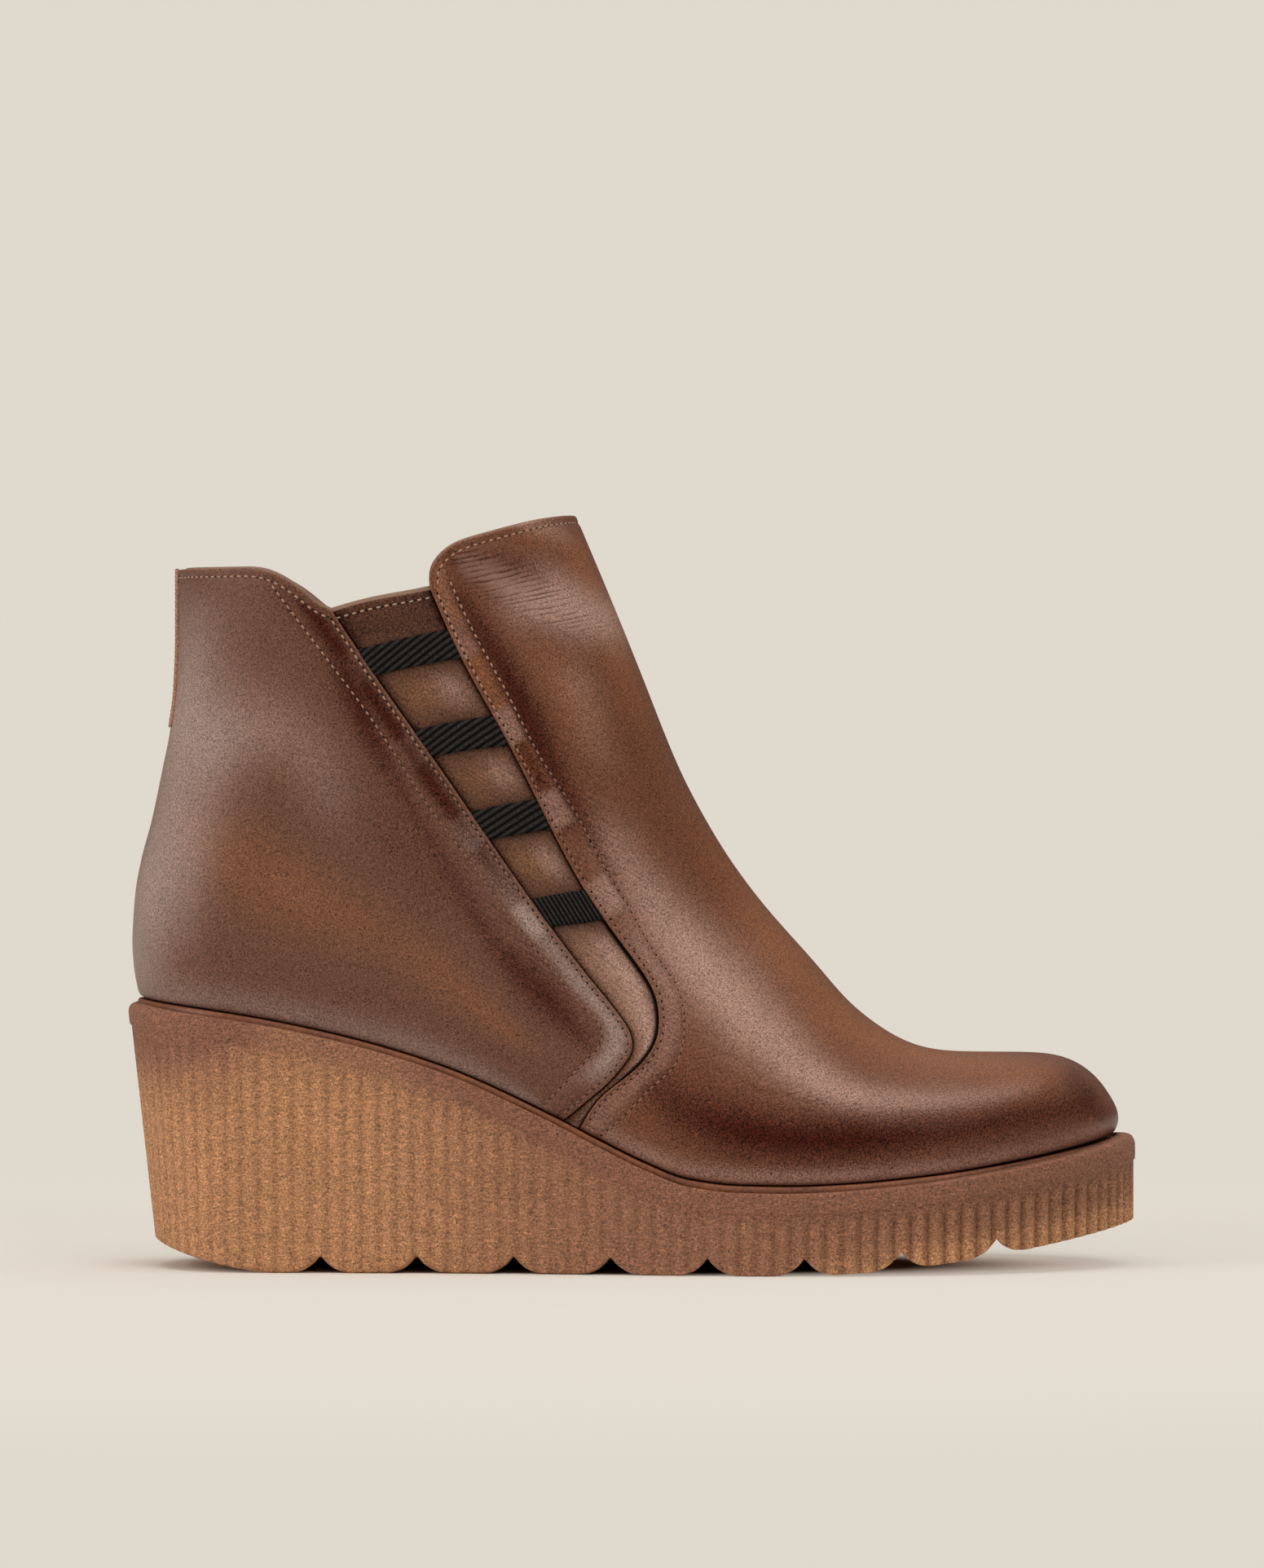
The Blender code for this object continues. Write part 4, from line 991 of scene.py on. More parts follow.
# Tones of the inner side, which the photo doesn't show: the outer side's scheme in broad strokes
def innerTones(x, h, top):
    z = h + featherHeight(x)
    dEdge = nearest(x, z, edgeLines["rearEdge"])[0]
    dTop = nearest(x, z, edgeLines[top])[0]
    masks = {
        # dark over the feather line is burnish and painted shade; paintedSheen is painted highlight and sheen
        "dark": strokes(x, h, [[(.56, .12, 5, .8), (.76, .09, 4.6, .9), (.96, .10, 3.4, .7)],
                               [(.05, .08, 5, .35), (.35, .10, 5, .35)]]),
        "tan": strokes(x, h, vampTones["tan"][:1] + [[(.12, .6, 9, .4), (.3, .3, 9, .4)]]),
        "paintedSheen": strokes(x, h, [[(.44, .8, 9, .35), (.58, .45, 9, .5), (.66, .27, 6, .5), (.90, .16, 3.5, .4)],
                                [(.05, .9, 6, .4), (.05, .3, 7, .4)]]),
        "wrinkleFlat": strokes(x, h, vampTones["wrinkleFlat"]),
        "wrinkleRise": strokes(x, h, [[(.45, .76, 8, .7), (.56, .60, 8, .7)]]),
    }
    masks["dark"] = np.maximum(masks["dark"], .5 * bell(dEdge, .003))
    masks["rub"] = .75 * ease((.00055 - np.minimum(dEdge, dTop)) / .0004)
    return masks


# Quarter: inner side from the seam round the back profile to the outer side's cut edge
def makeQuarter():
    t, rowDepth = panelRows(upperRows)
    x, h, depth = panelGrid(patches["rear"], round(85 * finer), t, False)
    depths = np.maximum(depth[None], rowDepth[:, None])
    relief, masks, at = quarterFields(x, h)
    band, up = at["band"], at["up"]
    high = ease((up - .3) / .35)
    # the strap lumps get painted highlight, less dark and more sheen, and painted sheen lies low on the band
    masks["dark"] = np.maximum(masks["dark"] * (1 - .7 * band * (1 - high)),
                               band * (.05 + .9 * high) * (1 - (.6 - .4 * high) * at["lumps"]))
    masks["paintedSheen"] = np.clip(masks["paintedSheen"] * (1 - .7 * band) + (.5 - .4 * high) * band * at["lumps"]
                             + .5 * band * (1 - high) * ease((up - .08) / .1), 0, 1)
    outer = skin(x, h, False, depths - relief, 0)[0]
    inner = skin(x, h, True, depths - innerRelief(x, h, "rearTop"), 0)[0]
    innerMasks = innerTones(x, h, "rearTop")
    grid = np.concatenate([inner[:, ::-1], outer[:, 1:]], axis=1)
    masks = joinMasks({name: mask[:, ::-1] for name, mask in innerMasks.items()},
                      {name: masks[name][:, 1:] for name in innerMasks})
    return part(makeMesh("quarterLeather", grid.reshape(-1, 3), [gridFaces(*grid.shape[:2])], quarterFinish,
                         masks), "leather", "quarter")


# Lining: one ring of columns at two depths, joined over the rounded collar edge
def makeLining():
    t = np.linspace(0, 1, round(90 * finer))
    count = {"rear": round(30 * finer), "gusset": round(8 * finer), "front": round(50 * finer)}
    turn = 1 - np.cos(np.linspace(0, math.pi / 2, count["rear"]))
    forward = np.sin(np.linspace(0, math.pi / 2, count["front"]))
    even = np.linspace(0, 1, count["gusset"])

    def ring(depth):
        def sideGrid(name, s, inner, closed):
            s2, t2 = np.meshgrid(s, t)
            flat = coons(patches[name], s2, t2)
            return skin(flat[..., 0], flat[..., 1], inner, depth, closed)[0]
        rear, rearInner = sideGrid("rear", turn, False, 0), sideGrid("rear", turn, True, 0)[:, ::-1]
        gusset = sideGrid("gusset", even, False, None)
        front = sideGrid("front", forward, False, -1)
        frontInner = sideGrid("innerFront", forward, True, -1)[:, ::-1]
        return np.concatenate([rear, gusset[:, 1:], front[:, 1:], frontInner[:, 1:], rearInner[:, 1:-1]],
                              axis=1)

    outerDepth = layers["panel"] + layers["clearance"]
    outer, inner = ring(outerDepth), ring(outerDepth + layers["lining"])
    middle = ring(outerDepth + layers["lining"] / 2)
    crest = middle[-1:] + np.array([0, 0, layers["lining"] * .3])
    grid = np.concatenate([outer, crest, inner[::-1]])
    rows, columns = grid.shape[:2]
    return part(makeMesh("lining", grid.reshape(-1, 3), [gridFaces(rows, columns, ring=True)], liningFinish),
                "lining", "upper")


# Gusset leather in the open window: puffed between the straps, with painted shade beside them, painted shadow
# under the panels' edges and painted highlight on the puffs
def makeGusset():
    t = np.linspace(0, 1, round(260 * finer))
    s = np.linspace(-.3, 1.3, round(60 * finer))
    s2, t2 = np.meshgrid(s, t)
    flat = coons(patches["gusset"], s2, t2)
    x, h = flat[..., 0], flat[..., 1]
    share = rowShare("edge", t2)
    gaps = [np.abs(share - (rear + (front - rear) * s2))
            for rear, front in zip(strapTable["rear"], strapTable["front"])]
    nearStrap = np.min(gaps, axis=0) - .024
    open01 = np.sin(math.pi * np.clip(s2, 0, 1)) ** .8
    z = h + featherHeight(x)
    dTop = nearest(x, z, polyline(patches["gusset"][3]))[0]
    puffed = layers["gussetPuff"] * open01 * ease(nearStrap / .05) * ease((dTop - .003) / .003)
    pulled = seams["trough"] * bell(dTop - seams["gussetRow"], seams["troughWidth"])
    depth = layers["gussetDepth"] - puffed + pulled + .0002 * ease((np.abs(s2 - .5) - .4) / .2)
    depth = depth + np.where(np.arange(len(t))[:, None] == len(t) - 1, .0008, 0)
    dFront = nearest(x, z, edgeLines["frontEdge"])[0]
    dRear = nearest(x, z, edgeLines["rearEdge"])[0]
    lifted = ease((share - .12) / .08) * ease((.52 - share) / .06)
    # dark is painted shade beside the straps, under the panels and at the window's top and bottom; paintedSheen
    # is painted highlight on the puffs; gap is painted shadow under the panels' edges
    masks = {
        "tan": bell(s2 - .42, .34) * ease(nearStrap / .05) * (.35 + .35 * ease((.9 - share) / .05)),
        "dark": np.clip(.5 * ease((.010 - nearStrap) / .02) + .75 * ease((.16 - s2) / .2)
                        + .5 * ease((s2 - .86) / .14) + .55 * ease((share - .92) / .03)
                        + .45 * ease((.2 - share) / .06), 0, .9),
        "paintedSheen": .5 * bell(s2 - .72, .2) * ease(nearStrap / .05) * ease((.9 - share) / .05)
                 + .45 * open01 * ease((.46 - share) / .1) * ease((share - .18) / .1),
        "rub": .25 * ease((.0004 - dTop) / .0003),
        "gap": np.maximum(ease((.0013 - dFront) / .0008) * lifted + .75 * ease((.0008 - dFront) / .0006),
                          .65 * ease((.0006 - dRear) / .0005)),
        "wrinkleFlat": np.zeros(x.shape), "wrinkleRise": .35 * open01,
    }
    masks["gap"] = np.clip(masks["gap"], 0, 1)
    grid = skin(x, h, False, depth)[0]
    return part(makeMesh("gussetLeather", grid.reshape(-1, 3), [gridFaces(*grid.shape[:2])], gussetFinish,
                         {name: mask.ravel() for name, mask in masks.items()}), "lining", "upper")


straps = {
    "halfShare": .024,       # half a strap's height as a share of the gusset's edge
    "proud": -.0002,         # its face over the panels' outer surface
    "thickness": .0010,
    "twillPitch": .0017,     # along the strap
    "twillDepth": .00034,
    "underPanel": .0012,     # how far its ends run under the panels
    "tuckReach": .0006,      # its ends sink from here, over three times this length
    "tuckDepth": .0009,
    "slant": .9,             # lean of the twill; the lowest strap leans the other way
}


# Strap: a ribbed grid across the gusset with rolled long edges; ribs are slanting half-round waves
def makeStrap(number):
    rearAt, frontAt = sideCurve(rearEdge), sideCurve(frontEdge)
    up = np.concatenate([[-1, -1], np.linspace(-1, 1, round(34 * finer)), [1, 1]])
    fall = np.zeros(len(up))
    fall[[0, -1]], fall[[1, -2]] = straps["thickness"], straps["thickness"] * .6
    middle = strapTable["rear"][number - 1], strapTable["front"][number - 1]
    left = rearAt(middle[0] + up * straps["halfShare"])
    right = frontAt(middle[1] + up * straps["halfShare"])
    length = np.linalg.norm(right - left, axis=1).mean()
    s = np.linspace(-straps["underPanel"] / length, 1 + straps["underPanel"] / length, round(120 * finer))
    flat = left[:, None] + (right - left)[:, None] * s[None, :, None]
    slant = -straps["slant"] if number == 4 else straps["slant"]
    run = flat[..., 0] - slant * flat[..., 1]
    twill = straps["twillDepth"] * np.abs(np.sin(math.pi * run / straps["twillPitch"])) ** .8
    rolled = straps["thickness"] * .5 * np.clip((np.abs(up) - .72) / .28, 0, 1) ** 2
    depth = -straps["proud"] + fall[:, None] + rolled[:, None] * (fall[:, None] == 0) - twill
    past, tuck = s * length, straps["tuckReach"]
    ends = ease((tuck - past) / (3 * tuck)) + ease((past - length + tuck) / (3 * tuck))
    depth = depth + straps["tuckDepth"] * ends[None]
    grid = skin(flat[..., 0], flat[..., 1], False, depth)[0]
    rows, columns = grid.shape[:2]
    # crest: where the elastic's painted highlight goes
    crest = (twill / straps["twillDepth"]) ** 2.5
    return part(makeMesh(f"strap{number}", grid.reshape(-1, 3), [gridFaces(rows, columns)], strapFinish,
                         {"crest": crest}), "elastic", f"strap_{number}")


sole = {
    "rimToe": .0050,         # sole beyond the upper
    "rimHeel": .0025,
    "rimSide": .0032,
    "band": .0052,
    "bandProud": .0004,
    "lipToe": .0013,         # how far the rim turns up at the toe and the heel
    "lipHeel": .0004,
    "ribPitch": .00415,
    "ribDepth": .00038,
    "ribDepthToe": .00125,
    "ribFade": .0040,
    "notches": 8,
    "notchFirst": .1905,
    "notchPitch": .0235,
    "notchDepth": .0044,
    "lobeRadius": .0090,
    "plateShows": .0015,
    "plate": .0022,
    "plateProud": .0003,
    "seatFit": .0007,
}
draftTable = table("along slope", (0, .05), (.3, .05), (.55, .03), (.8, .02), (1, 0))
backRake = .062


# One side of the upper's outline on the feather line, grown outward; returns points, normals and length
def footprint(inner, shares, side, heel, toe):
    end = frontTable["along"][0] * last["length"]
    x = end * (1 - np.cos(np.linspace(0, math.pi, 1500))) / 2
    y = centreLine(x) + (1 if inner else -1) * np.sqrt(np.maximum(section(x, featherHeight(x), inner), 0))
    y[[0, -1]] = centreLine(x[[0, -1]])
    dx, dy = np.gradient(x), np.gradient(y)
    normal = np.column_stack([dy, -dx]) * (-1 if inner else 1)
    normal /= np.linalg.norm(normal, axis=1, keepdims=True)
    normal[0], normal[-1] = (-1, 0), (1, 0)
    forward, backward = np.maximum(normal[:, 0], 0) ** 2, np.maximum(-normal[:, 0], 0) ** 2
    grow = side + (toe - side) * forward + (heel - side) * backward
    points = np.column_stack([x, y]) + normal * grow[:, None]
    run = np.concatenate([[0], np.cumsum(np.linalg.norm(np.diff(points, axis=0), axis=1))])
    read = np.column_stack([np.interp(shares * run[-1], run, column)
                            for column in np.column_stack([points, normal]).T])
    return read[:, :2], read[:, 2:] / np.linalg.norm(read[:, 2:], axis=1, keepdims=True), run[-1]


# The grown outline as one closed loop: heel, outer side, toe, inner side
def outline(shares, side, heel=None, toe=None):
    heel, toe = side if heel is None else heel, side if toe is None else toe
    outer, outerNormal, outerRun = footprint(False, shares, side, heel, toe)
    inner, innerNormal, innerRun = footprint(True, shares, side, heel, toe)
    return (np.vstack([outer, inner[-2:0:-1]]), np.vstack([outerNormal, innerNormal[-2:0:-1]]),
            (outerRun + innerRun) / 2)


# From the last's frame to the part's
def inPart(points):
    return points + np.array([last["shiftX"], last["shiftY"], 0])


# Height of the notched underside: round lobes that meet in a sharp valley at each notch
def notched(x):
    radius = sole["lobeRadius"]
    lobeX = math.sqrt(radius ** 2 - (radius - sole["notchDepth"]) ** 2)
    at = (x - sole["notchFirst"] * last["length"]) / sole["notchPitch"]
    k = np.clip(np.round(at), 0, sole["notches"] - 1)
    inLobe = np.clip(lobeX - np.abs(at - k) * sole["notchPitch"], 0, radius)
    return undersideHeight(x) + radius - np.sqrt(radius ** 2 - inLobe ** 2)


# Stacked loops closed by a cap of rows across their lowest and highest loop; lowest(x) may shape the lower one
def closedStack(walls, capRows, lowest=None):
    levels, count = walls.shape[:2]
    half = count // 2
    vertices, faces = [walls.reshape(-1, 3)], [gridFaces(levels, count, ring=True)]
    shares = np.linspace(0, 1, capRows)[1:-1]
    base = len(vertices[0])
    for levelAt, height, flip in ((0, lowest, True), (levels - 1, None, False)):
        loop = walls[levelAt]
        outer, inner = loop[1:half], loop[:half:-1]
        rows = outer[None] + (inner - outer)[None] * shares[:, None, None]
        if height is not None:
            rows[..., 2] = height(rows[..., 0])
        at = np.arange(rows.shape[0] * rows.shape[1]).reshape(rows.shape[:2]) + base
        start = levelAt * count
        whole = np.vstack([start + np.arange(1, half), at, start + np.arange(half + 1, count)[::-1]])
        strips = np.stack([whole[:-1, :-1], whole[1:, :-1], whole[1:, 1:], whole[:-1, 1:]], axis=-1)
        strips = strips.reshape(-1, 4)
        tips = ((start, whole[:, 0]), (start + half, whole[::-1, -1]))
        ends = np.vstack([np.stack([np.full(len(column) - 1, tip), column[1:], column[:-1]], axis=-1)
                          for tip, column in tips])
        faces += [strips, ends] if flip else [strips[:, ::-1], ends[:, ::-1]]
        vertices.append(rows.reshape(-1, 3))
        base += rows.shape[0] * rows.shape[1]
    return np.concatenate(vertices), faces


# Sole: ribbed and drafted wall, lobed underside, smooth band, rim and the seat that holds the plate
def makeSole():
    coarse = outline(np.linspace(0, 1, 200), sole["rimSide"], sole["rimHeel"], sole["rimToe"])[2]
    ribs = round(coarse / sole["ribPitch"])
    stations = ribs * 8
    points, normals, run = outline(np.linspace(0, 1, stations + 1), sole["rimSide"], sole["rimHeel"],
                                   sole["rimToe"])
    count = len(points)
    along = points[:, 0] / last["length"]
    top = featherHeight(points[:, 0]) - layers["clearance"] - sole["plateShows"]
    slope = between(draftTable["along"], draftTable["slope"], along)
    slope = slope + backRake * np.maximum(-normals[:, 0], 0) ** 2
    phase = np.arange(count) * ribs / stations
    round01 = np.abs(np.sin(math.pi * phase))
    deep = sole["ribDepth"] + (sole["ribDepthToe"] - sole["ribDepth"]) * ease((along - .5) / .4)
    valley = 1 - round01 ** (1.2 - .45 * ease((along - .5) / .4))
    groove = deep * valley
    band = top - sole["band"]
    tips = np.abs(normals[:, 0]) ** 3
    bandProud = sole["bandProud"] * (.15 + .85 * np.maximum(tips, ease((along - .5) / .3) * .5))
    top = top + np.where(normals[:, 0] > 0, sole["lipToe"], sole["lipHeel"]) * tips

    def level(z, ribShare, proud):
        inward = slope * (top - z) + groove * ribShare - proud
        return np.column_stack([points - normals * inward[:, None], z])

    levels = []
    rise = (top - band) / sole["band"]
    bottom = level(undersideHeight(points[:, 0]), 1, 0)
    lowest = notched(bottom[:, 0])
    rowsUp = np.concatenate([[.0, .12, .3, .55, .9, 1.4, 2.2], np.linspace(3.4, 100, 12)[:-1]]) / 100
    for share in rowsUp:
        z = lowest + (band - sole["ribFade"] - lowest) * share
        row = level(z, 1, 0)
        row[:, :2] -= normals * (.0012 * (1 - min(share / .02, 1)) ** 2)
        levels.append(row)
    for share in np.linspace(0, 1, 7):
        z = band - sole["ribFade"] * (1 - share)
        levels.append(level(z, 1 - ease(share), 0))
    proud = bandProud
    for lift, out in ((.0001, proud * .6), (.0003, proud), (.0018, proud * 1.1), (.0032, proud),
                      (.0040, proud - .00025 * tips), (.0046, proud - .0007 * tips),
                      (.00495, proud * .8 - .0012 * tips), (.00515, proud * .2 - .0018 * tips),
                      (.0052, -.0005 - .0020 * tips)):
        levels.append(level(band + lift * rise, 0, out))
    rim = levels[-1]
    seat = featherHeight(points[:, 0]) - 2 * layers["clearance"] - sole["plate"]
    inside = outline(np.linspace(0, 1, stations + 1), sole["plateProud"] + sole["seatFit"])[0]
    levels.append(np.column_stack([inside + (rim[:, :2] - inside) * .06, top]))
    levels.append(np.column_stack([inside, top - .0002]))
    levels.append(np.column_stack([inside, seat]))
    walls = np.stack(levels)
    everything, faces = closedStack(walls, 14, notched)
    alongAll = everything[:, 0] / last["length"]
    under = featherHeight(everything[:, 0]) - everything[:, 2]
    # painted shade in the rib grooves, stronger towards the toe
    grooveShade = np.zeros(len(everything))
    grooveShade[:walls.shape[0] * count] = np.tile(valley * (.42 + .4 * ease((along - .5) / .4)), walls.shape[0])
    grooveShade *= ease((under - sole["plateShows"] - sole["band"]) / .003)
    inBand = ease((.0100 - under) / .0045)
    corner = ease((.16 - alongAll) / .14) * ease((.030 - under) / .022)
    low = ease((under - .012) / .012)
    # mauve falls away low at the toe: the crepe is amber there, and it is painted lighter against the light
    # that falls off towards the toe
    forward = ease((alongAll - .2) / .3) * (1 - ease((alongAll - .58) / .3) * low)
    toe = ease((alongAll - .6) / .3) * low
    mauve = np.clip((.45 + .55 * ease((alongAll - .45) / .3)) * inBand + .8 * forward + corner
                    + .3 * ease((.018 - under) / .012) * ease((.5 - alongAll) / .2), 0, 1) - .7 * toe
    made = makeMesh("crepeSole", inPart(everything), faces, crepeFinish, {"groove": grooveShade, "mauve": mauve})
    return part(made, "crepe", "sole")


# A plate of stacked loops with rounded edges, between two heights over the feather line
def makePlate(name, side, low, high, roundness, finish, slotName, node):
    stations = round(240 * finer)
    levels = []
    tall = high - low
    for up, inset in ((0, 1), (.06, .45), (.2, .12), (.5, 0), (.8, .12), (.94, .45), (1, 1)):
        points = outline(np.linspace(0, 1, stations + 1), side - roundness * inset)[0]
        levels.append(np.column_stack([points, featherHeight(points[:, 0]) + low + tall * up]))
    vertices, faces = closedStack(np.stack(levels), 10)
    return part(makeMesh(name, inPart(vertices), faces, finish), slotName, node)


thread = {
    "pitch": .0020,
    "length": .00130,
    "radius": .00026,
    "proud": .00001,         # how far a stitch's middle lies over the leather
    "dive": .00022,          # how far its ends sink
    "hole": .00040,
    "holeRim": -.00003,      # a hole's rim and middle over the leather
    "holeCrown": .00010,
}


# A polyline moved sideways in the side view, given as x and height over the feather line
def movedAside(line, distance):
    along = np.gradient(line, axis=0)
    along /= np.linalg.norm(along, axis=1, keepdims=True)
    moved = line + np.column_stack([-along[:, 1], along[:, 0]]) * distance
    return moved


# Keeps the run of a path whose points lie further from each other line than its distance
def clipped(line, *others):
    keep = line[:, 1] - featherHeight(line[:, 0]) > .0012
    for other, distance in others:
        keep &= nearest(line[:, 0], line[:, 1], edgeLines[other])[0] > distance
    return line[keep]


# Stitches and needle holes at even distances along a path on the upper; relief gives the leather's height
def sewPath(line, inner, relief):
    x, h = line[None, :, 0], line[None, :, 1] - featherHeight(line[None, :, 0])
    points, normals = skin(x, h, inner, -relief(x, h) - thread["proud"])
    return sewPoints(points[0], normals[0])


# A stitch is a capsule whose ends dive: its radius falls as a root, its middle line as a square
def sewPoints(points, normals):
    run = np.concatenate([[0], np.cumsum(np.linalg.norm(np.diff(points, axis=0), axis=1))])
    count = int(run[-1] / thread["pitch"])
    at = (np.arange(count) + .5) * run[-1] / count

    def read(rows, where):
        return np.column_stack([np.interp(where, run, column) for column in rows.T])

    middle, up = read(points, at), read(normals, at)
    ahead = read(points, at + .0004) - read(points, at - .0004)
    ahead /= np.linalg.norm(ahead, axis=1, keepdims=True)
    up -= ahead * np.sum(up * ahead, axis=1, keepdims=True)
    up /= np.linalg.norm(up, axis=1, keepdims=True)
    across = np.cross(up, ahead)
    u = np.linspace(-1, 1, 7)
    turn = np.linspace(0, 2 * math.pi, 7)[:-1]
    radius = thread["radius"] * np.sqrt(np.maximum(1 - u ** 4, .02))
    lift = radius[:, None] * np.sin(turn) - thread["dive"] * u[:, None] ** 2
    offsets = (ahead[:, None, None] * (u * thread["length"] / 2)[None, :, None, None]
               + up[:, None, None] * lift[None, ..., None]
               + across[:, None, None] * (radius[:, None] * np.cos(turn))[None, ..., None])
    rings = middle[:, None, None] + offsets
    hole = read(points, at + run[-1] / count / 2)
    disc = np.linspace(0, 2 * math.pi, 9)[:-1]
    rim = (hole[:, None] + up[:, None] * thread["holeRim"] + thread["hole"]
           * (ahead[:, None] * np.cos(disc)[None, :, None] + across[:, None] * np.sin(disc)[None, :, None]))
    crown = hole + up * thread["holeCrown"]
    return rings, rim, crown


# All stitches as one mesh and all needle holes as another, near-black cones of painted shade
def makeStitches():
    rows = edgeRows()
    ringSets, rims, crowns = zip(*rows)
    rings = np.concatenate(ringSets)
    count, along, around = rings.shape[:3]
    one = gridFaces(along, around, ring=True)
    faces = (one[None] + (np.arange(count) * along * around)[:, None, None]).reshape(-1, 4)
    light = ease((rings[..., 2] - .115) / .03)
    part(makeMesh("seamStitches", rings.reshape(-1, 3), [faces], threadFinish, {"light": light}), "leather")
    rim, crown = np.concatenate(rims), np.concatenate(crowns)
    sides = rim.shape[1]
    fan = np.stack([np.arange(sides), (np.arange(sides) + 1) % sides, np.full(sides, sides)], axis=-1)
    cones = np.concatenate([rim, crown[:, None]], axis=1)
    faces = (fan[None] + (np.arange(len(cones)) * (sides + 1))[:, None, None]).reshape(-1, 3)
    part(makeMesh("needleHoleShade", cones.reshape(-1, 3), [faces], holeShadeFinish), "leather")


# Every stitch row of the boot
def edgeRows():
    edge, collar = seams["edgeRow"], seams["collarRow"]
    rear, front = edgeLines["rearEdge"], edgeLines["frontEdge"]
    gussetTop = polyline(patches["gusset"][3])
    sewn = []
    for line in (clipped(movedAside(rear, edge), ("rearTop", collar)),
                 clipped(movedAside(edgeLines["rearTop"], -collar), ("rearEdge", edge)),
                 clipped(edgeLines["rearRow"], ("rearTop", collar))):
        sewn.append(sewPath(line, False, lambda x, h: quarterFields(x, h)[0]))
    for line in (clipped(movedAside(front, -edge), ("frontTop", collar)),
                 clipped(movedAside(edgeLines["frontTop"], -collar), ("frontEdge", edge)),
                 clipped(edgeLines["frontRow"], ("frontTop", collar))):
        sewn.append(sewPath(line, False, lambda x, h: vampFields(x, h)[0]))
    lowered = movedAside(gussetTop, -seams["gussetRow"])
    sewn.append(sewPath(lowered, False, lambda x, h: np.full(x.shape, -layers["gussetDepth"] - .0001)))
    for line, top in ((clipped(movedAside(rear, seams["innerRow"]), ("rearTop", collar)), "rearTop"),
                      (clipped(movedAside(rear, -seams["innerRow"]), ("innerTop", collar)), "innerTop"),
                      (clipped(movedAside(edgeLines["rearTop"], -collar)), "rearTop"),
                      (clipped(movedAside(edgeLines["innerTop"], -collar)), "innerTop")):
        sewn.append(sewPath(line, True, lambda x, h: innerRelief(x, h, top)))
    for side in (-1, 1):
        x, h = backPlace(np.linspace(strip["low"] + .001, strip["top"] - .001, 60), side * strip["row"])
        points, normals = skin(x[None], h[None], side > 0, -strip["lift"])
        sewn.append(sewPoints(points[0], normals[0]))
    return sewn


strip = {
    "low": .1330,            # heights of its ends over the floor
    "top": .1722,
    "halfWidth": .0055,
    "row": .0043,
    "lift": .0006,
    "thickness": .0006,
}


# Place of the side view at a height and a distance from the centre line, on the heel's rounding
def backPlace(z, y):
    z, y = np.broadcast_arrays(np.asarray(z, float), np.asarray(y, float))
    backX, reach = backProfile(z)
    half = np.where(y > 0, widest(backX + .004, z, True), widest(backX + .004, z, False))
    share = 1 - (1 - np.clip(y / half, -1, 1) ** 2) ** (1 / last["closure"])
    x = backX + share * reach
    return x, z - featherHeight(x)


# Back strip over the heel seam: a narrow grid round the back with rounded edges
def makeStrip():
    z = np.concatenate([[strip["low"]] * 2, np.linspace(strip["low"], strip["top"], round(60 * finer)),
                        [strip["top"]] * 2])
    endLift = np.zeros(len(z))
    endLift[[0, -1]], endLift[[1, -2]] = -strip["thickness"], -strip["thickness"] / 2
    side = np.concatenate([np.linspace(0, .9, 7), [.95, .98, 1, 1, 1]])
    drop = np.zeros(len(side))
    drop[-5:] = [0, .00005, .0002, .0005, strip["thickness"]]
    columns = []
    for way in (-1, 1):
        z2, y2 = np.meshgrid(z, way * side * strip["halfWidth"], indexing="ij")
        x, h = backPlace(z2, y2)
        lift = strip["lift"] + endLift[:, None] - drop[None]
        columns.append(skin(x, h, way > 0, -lift, 0)[0])
    grid = np.concatenate([columns[1][:, ::-1], columns[0][:, 1:]], axis=1)
    inY = np.abs(grid[..., 1] - last["shiftY"])
    # the strip carries an even painted sheen
    masks = {"dark": .35 * bell(inY, .002), "tan": .3 + 0 * inY, "paintedSheen": .45 + 0 * inY,
             "rub": .6 * ease((inY - .0050) / .0004), "wrinkleFlat": 0 * inY, "wrinkleRise": 0 * inY}
    return part(makeMesh("backStrip", grid.reshape(-1, 3), [gridFaces(*grid.shape[:2])], stripFinish,
                         {name: mask.ravel() for name, mask in masks.items()}), "leather", "back_strip")


makeVamp()
makeQuarter()
print("panels made")
makeLining()
makeGusset()
makeStrip()
for number in range(1, 5):
    makeStrap(number)
makeStitches()
print("lining, gusset and straps made")
makeSole()
makePlate("midsolePlate", sole["plateProud"], -layers["clearance"] - sole["plate"], -layers["clearance"],
          .0006, plateFinish, "plate", "midsole")
makePlate("insoleBoard", -(layers["panel"] + layers["clearance"] + layers["lining"] + .0007), 0, .0025,
          .0006, insoleFinish, "insole", "insole")
print("sole, plate and insole made")


# Floor, backdrop and lights
studio = {
    "paper": (.745, .693, .617),         # what the camera sees of floor and air
    "floorAlbedo": 1.03,
    "litRadius": .55,                    # the floor takes light and shadow within this distance
    "litShare": .46,
    "topEnergy": 36,
    "leftEnergy": 34,
    "frontEnergy": 18,
    "skyStrength": .50,
    "horizonStrength": .09,
}


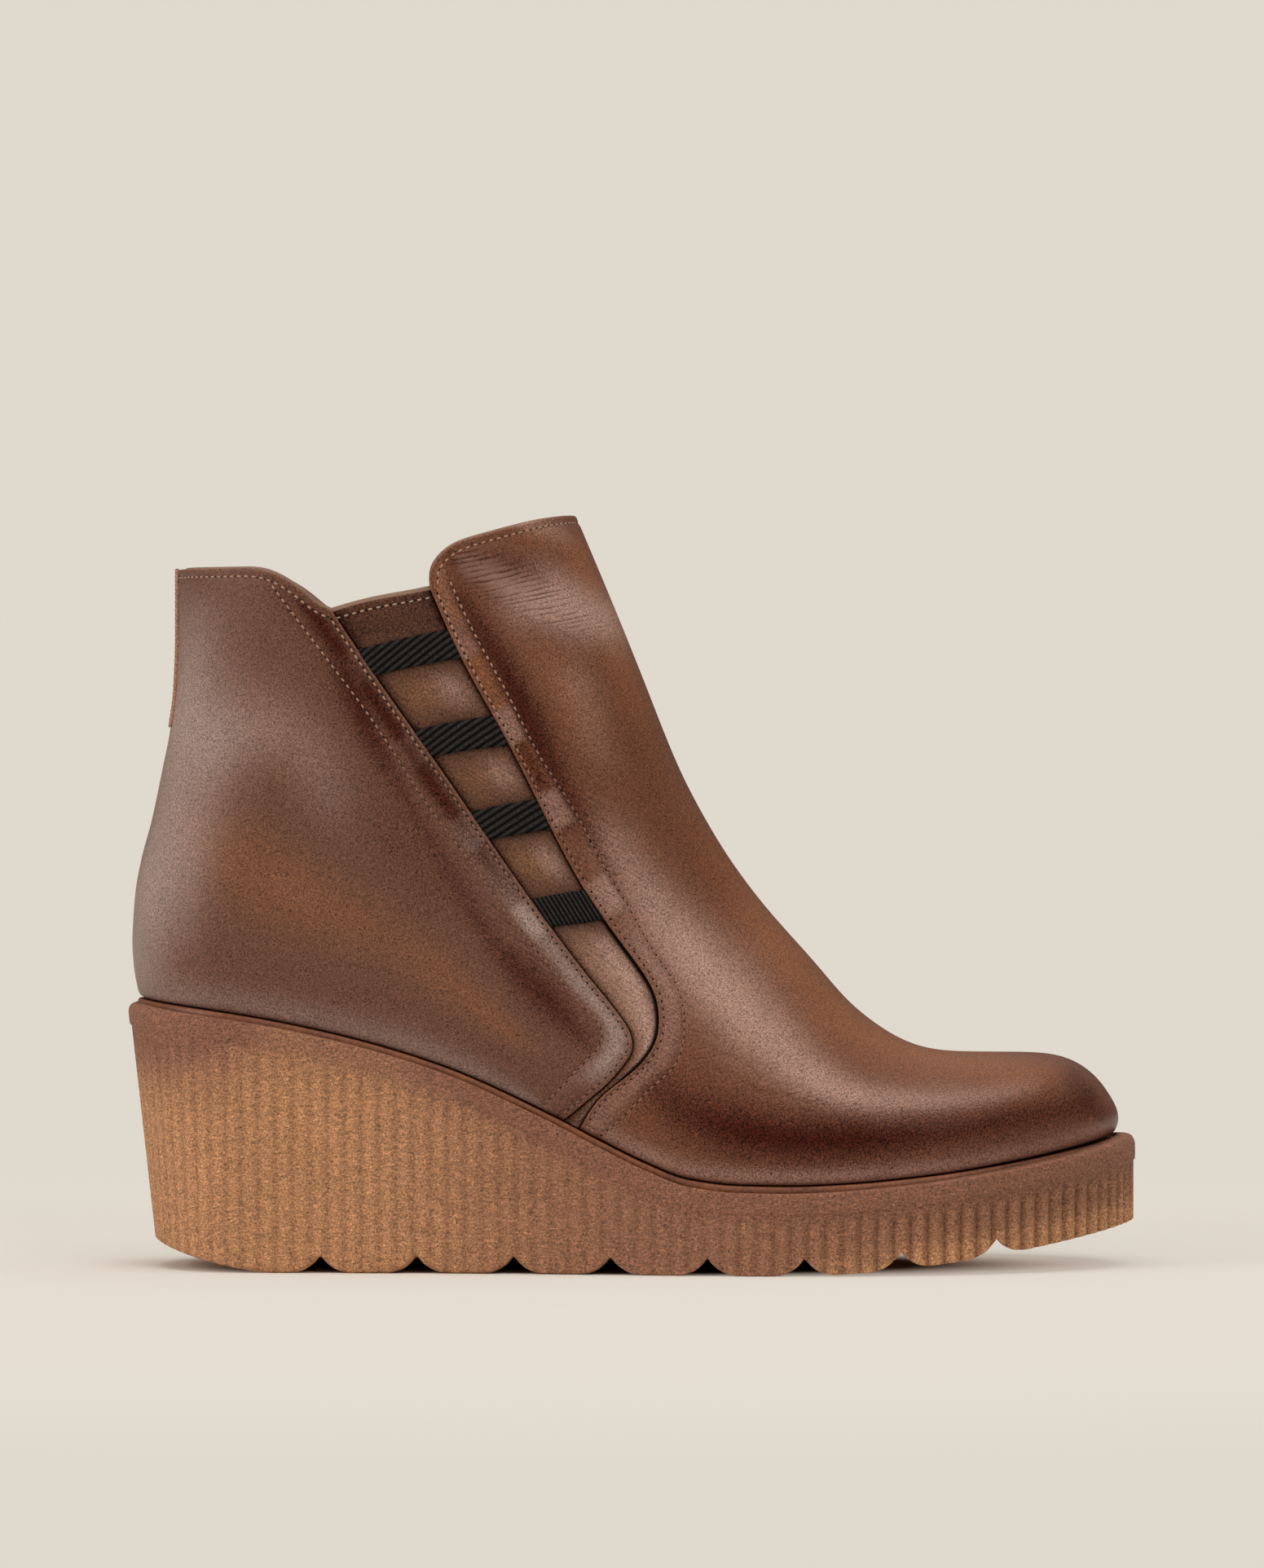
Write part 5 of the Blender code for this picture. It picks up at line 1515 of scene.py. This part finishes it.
# Paper floor: lit paper near the boot that runs out into the even tone of the air
def floorMaterial():
    made, tree, shader, place = newMaterial("paleFloor")
    away = node(tree, "VectorMath", {0: place}, operation="LENGTH").outputs["Value"]
    lit = node(tree, "MapRange", {"Value": away, "From Min": studio["litRadius"], "From Max": .2,
                                  "To Min": 0.0, "To Max": studio["litShare"]},
               interpolation_type="SMOOTHSTEP").outputs["Result"]
    glow = node(tree, "Emission", {"Color": (*studio["paper"], 1), "Strength": 1.0})
    feed(tree, shader, {"Base Color": (*(c * studio["floorAlbedo"] for c in studio["paper"]), 1),
                        "Roughness": .95, "Specular IOR Level": 0.0})
    squeezedPlace = node(tree, "Mapping", {"Vector": place, "Location": (.15, 0, 0), "Scale": (8.5, 22, 1)})
    reach = node(tree, "VectorMath", {0: squeezedPlace.outputs[0]}, operation="LENGTH").outputs["Value"]
    under = node(tree, "MapRange", {"Value": reach, "From Min": 1.15, "From Max": .75},
                 interpolation_type="SMOOTHSTEP").outputs["Result"]
    lit = node(tree, "Mix", {0: under, 2: lit, 3: 1.0}).outputs[0]
    mixed = node(tree, "MixShader", {0: lit, 1: glow.outputs[0], 2: shader.outputs[0]})
    tree.links.new(mixed.outputs[0], tree.nodes["Material Output"].inputs["Surface"])
    return made


# Air: the paper's tone for the camera; for the boot a sky that is bright above and dim at the horizon
def makeAir():
    world = bpy.data.worlds.new("studioAir")
    world.use_nodes = True
    tree = world.node_tree
    facing = node(tree, "TexCoord").outputs["Generated"]
    up = node(tree, "SeparateXYZ", {0: facing}).outputs["Z"]
    strength = node(tree, "MapRange", {"Value": up, "From Min": .0, "From Max": .8,
                                       "To Min": studio["horizonStrength"], "To Max": studio["skyStrength"]},
                    interpolation_type="SMOOTHSTEP").outputs["Result"]
    back = tree.nodes["Background"]
    feed(tree, back, {"Color": (1, .98, .95, 1), "Strength": strength})
    seen = node(tree, "Background", {"Color": (*studio["paper"], 1), "Strength": 1.0})
    camera = node(tree, "LightPath").outputs["Is Camera Ray"]
    mixed = node(tree, "MixShader", {0: camera, 1: back.outputs[0], 2: seen.outputs[0]})
    tree.links.new(mixed.outputs[0], tree.nodes["World Output"].inputs["Surface"])
    bpy.context.scene.world = world


def makeStudio():
    radius = np.array([0, .2, .4, .8, 2, 6, 14])
    turn = np.linspace(0, 2 * math.pi, 49)[:-1]
    grid = np.stack([radius[:, None] * np.cos(turn), -radius[:, None] * np.sin(turn),
                     np.zeros((len(radius), len(turn)))], axis=-1)
    makeMesh("paperFloor", grid.reshape(-1, 3), [gridFaces(*grid.shape[:2], ring=True)],
                      floorMaterial())

    def area(name, place, target, size, energy, colour):
        lamp = bpy.data.lights.new(name, "AREA")
        lamp.shape = "RECTANGLE"
        lamp.size, lamp.size_y = size
        lamp.energy = energy
        lamp.color = colour
        holder = bpy.data.objects.new(name, lamp)
        holder.location = place
        aim = Vector(target) - Vector(place)
        holder.rotation_euler = aim.to_track_quat("-Z", "Y").to_euler()
        bpy.context.scene.collection.objects.link(holder)

    area("topSoftbox", (.15, -.2, 2.6), (0, 0, 0), (2.6, 2.0), studio["topEnergy"], (1, .985, .96))
    area("leftSoftbox", (-2.2, -1.3, 1.1), (0, 0, .08), (1.4, 1.8), studio["leftEnergy"], (1, .98, .97))
    area("frontSoftbox", (1.2, -2.4, 1.7), (0, 0, .08), (1.2, 1.0), studio["frontEnergy"], (1, .98, .96))
    makeAir()


# The photo's camera, level and square to the outer side
photoView = {
    "lens": 157.4,           # mm, on a sensor of this width
    "sensor": 36,
    "distance": 1.7,
    "height": .119,
}


def makeCamera():
    lens = bpy.data.cameras.new("photoCamera")
    lens.lens = photoView["lens"]
    lens.sensor_width = photoView["sensor"]
    lens.clip_end = 20
    made = bpy.data.objects.new("photoCamera", lens)
    made.location = (0, -photoView["distance"], photoView["height"])
    made.rotation_euler = (math.radians(90), 0, 0)
    bpy.context.scene.collection.objects.link(made)
    bpy.context.scene.camera = made
    bpy.context.scene.view_settings.view_transform = "Standard"


makeStudio()
makeCamera()
print("studio ready")
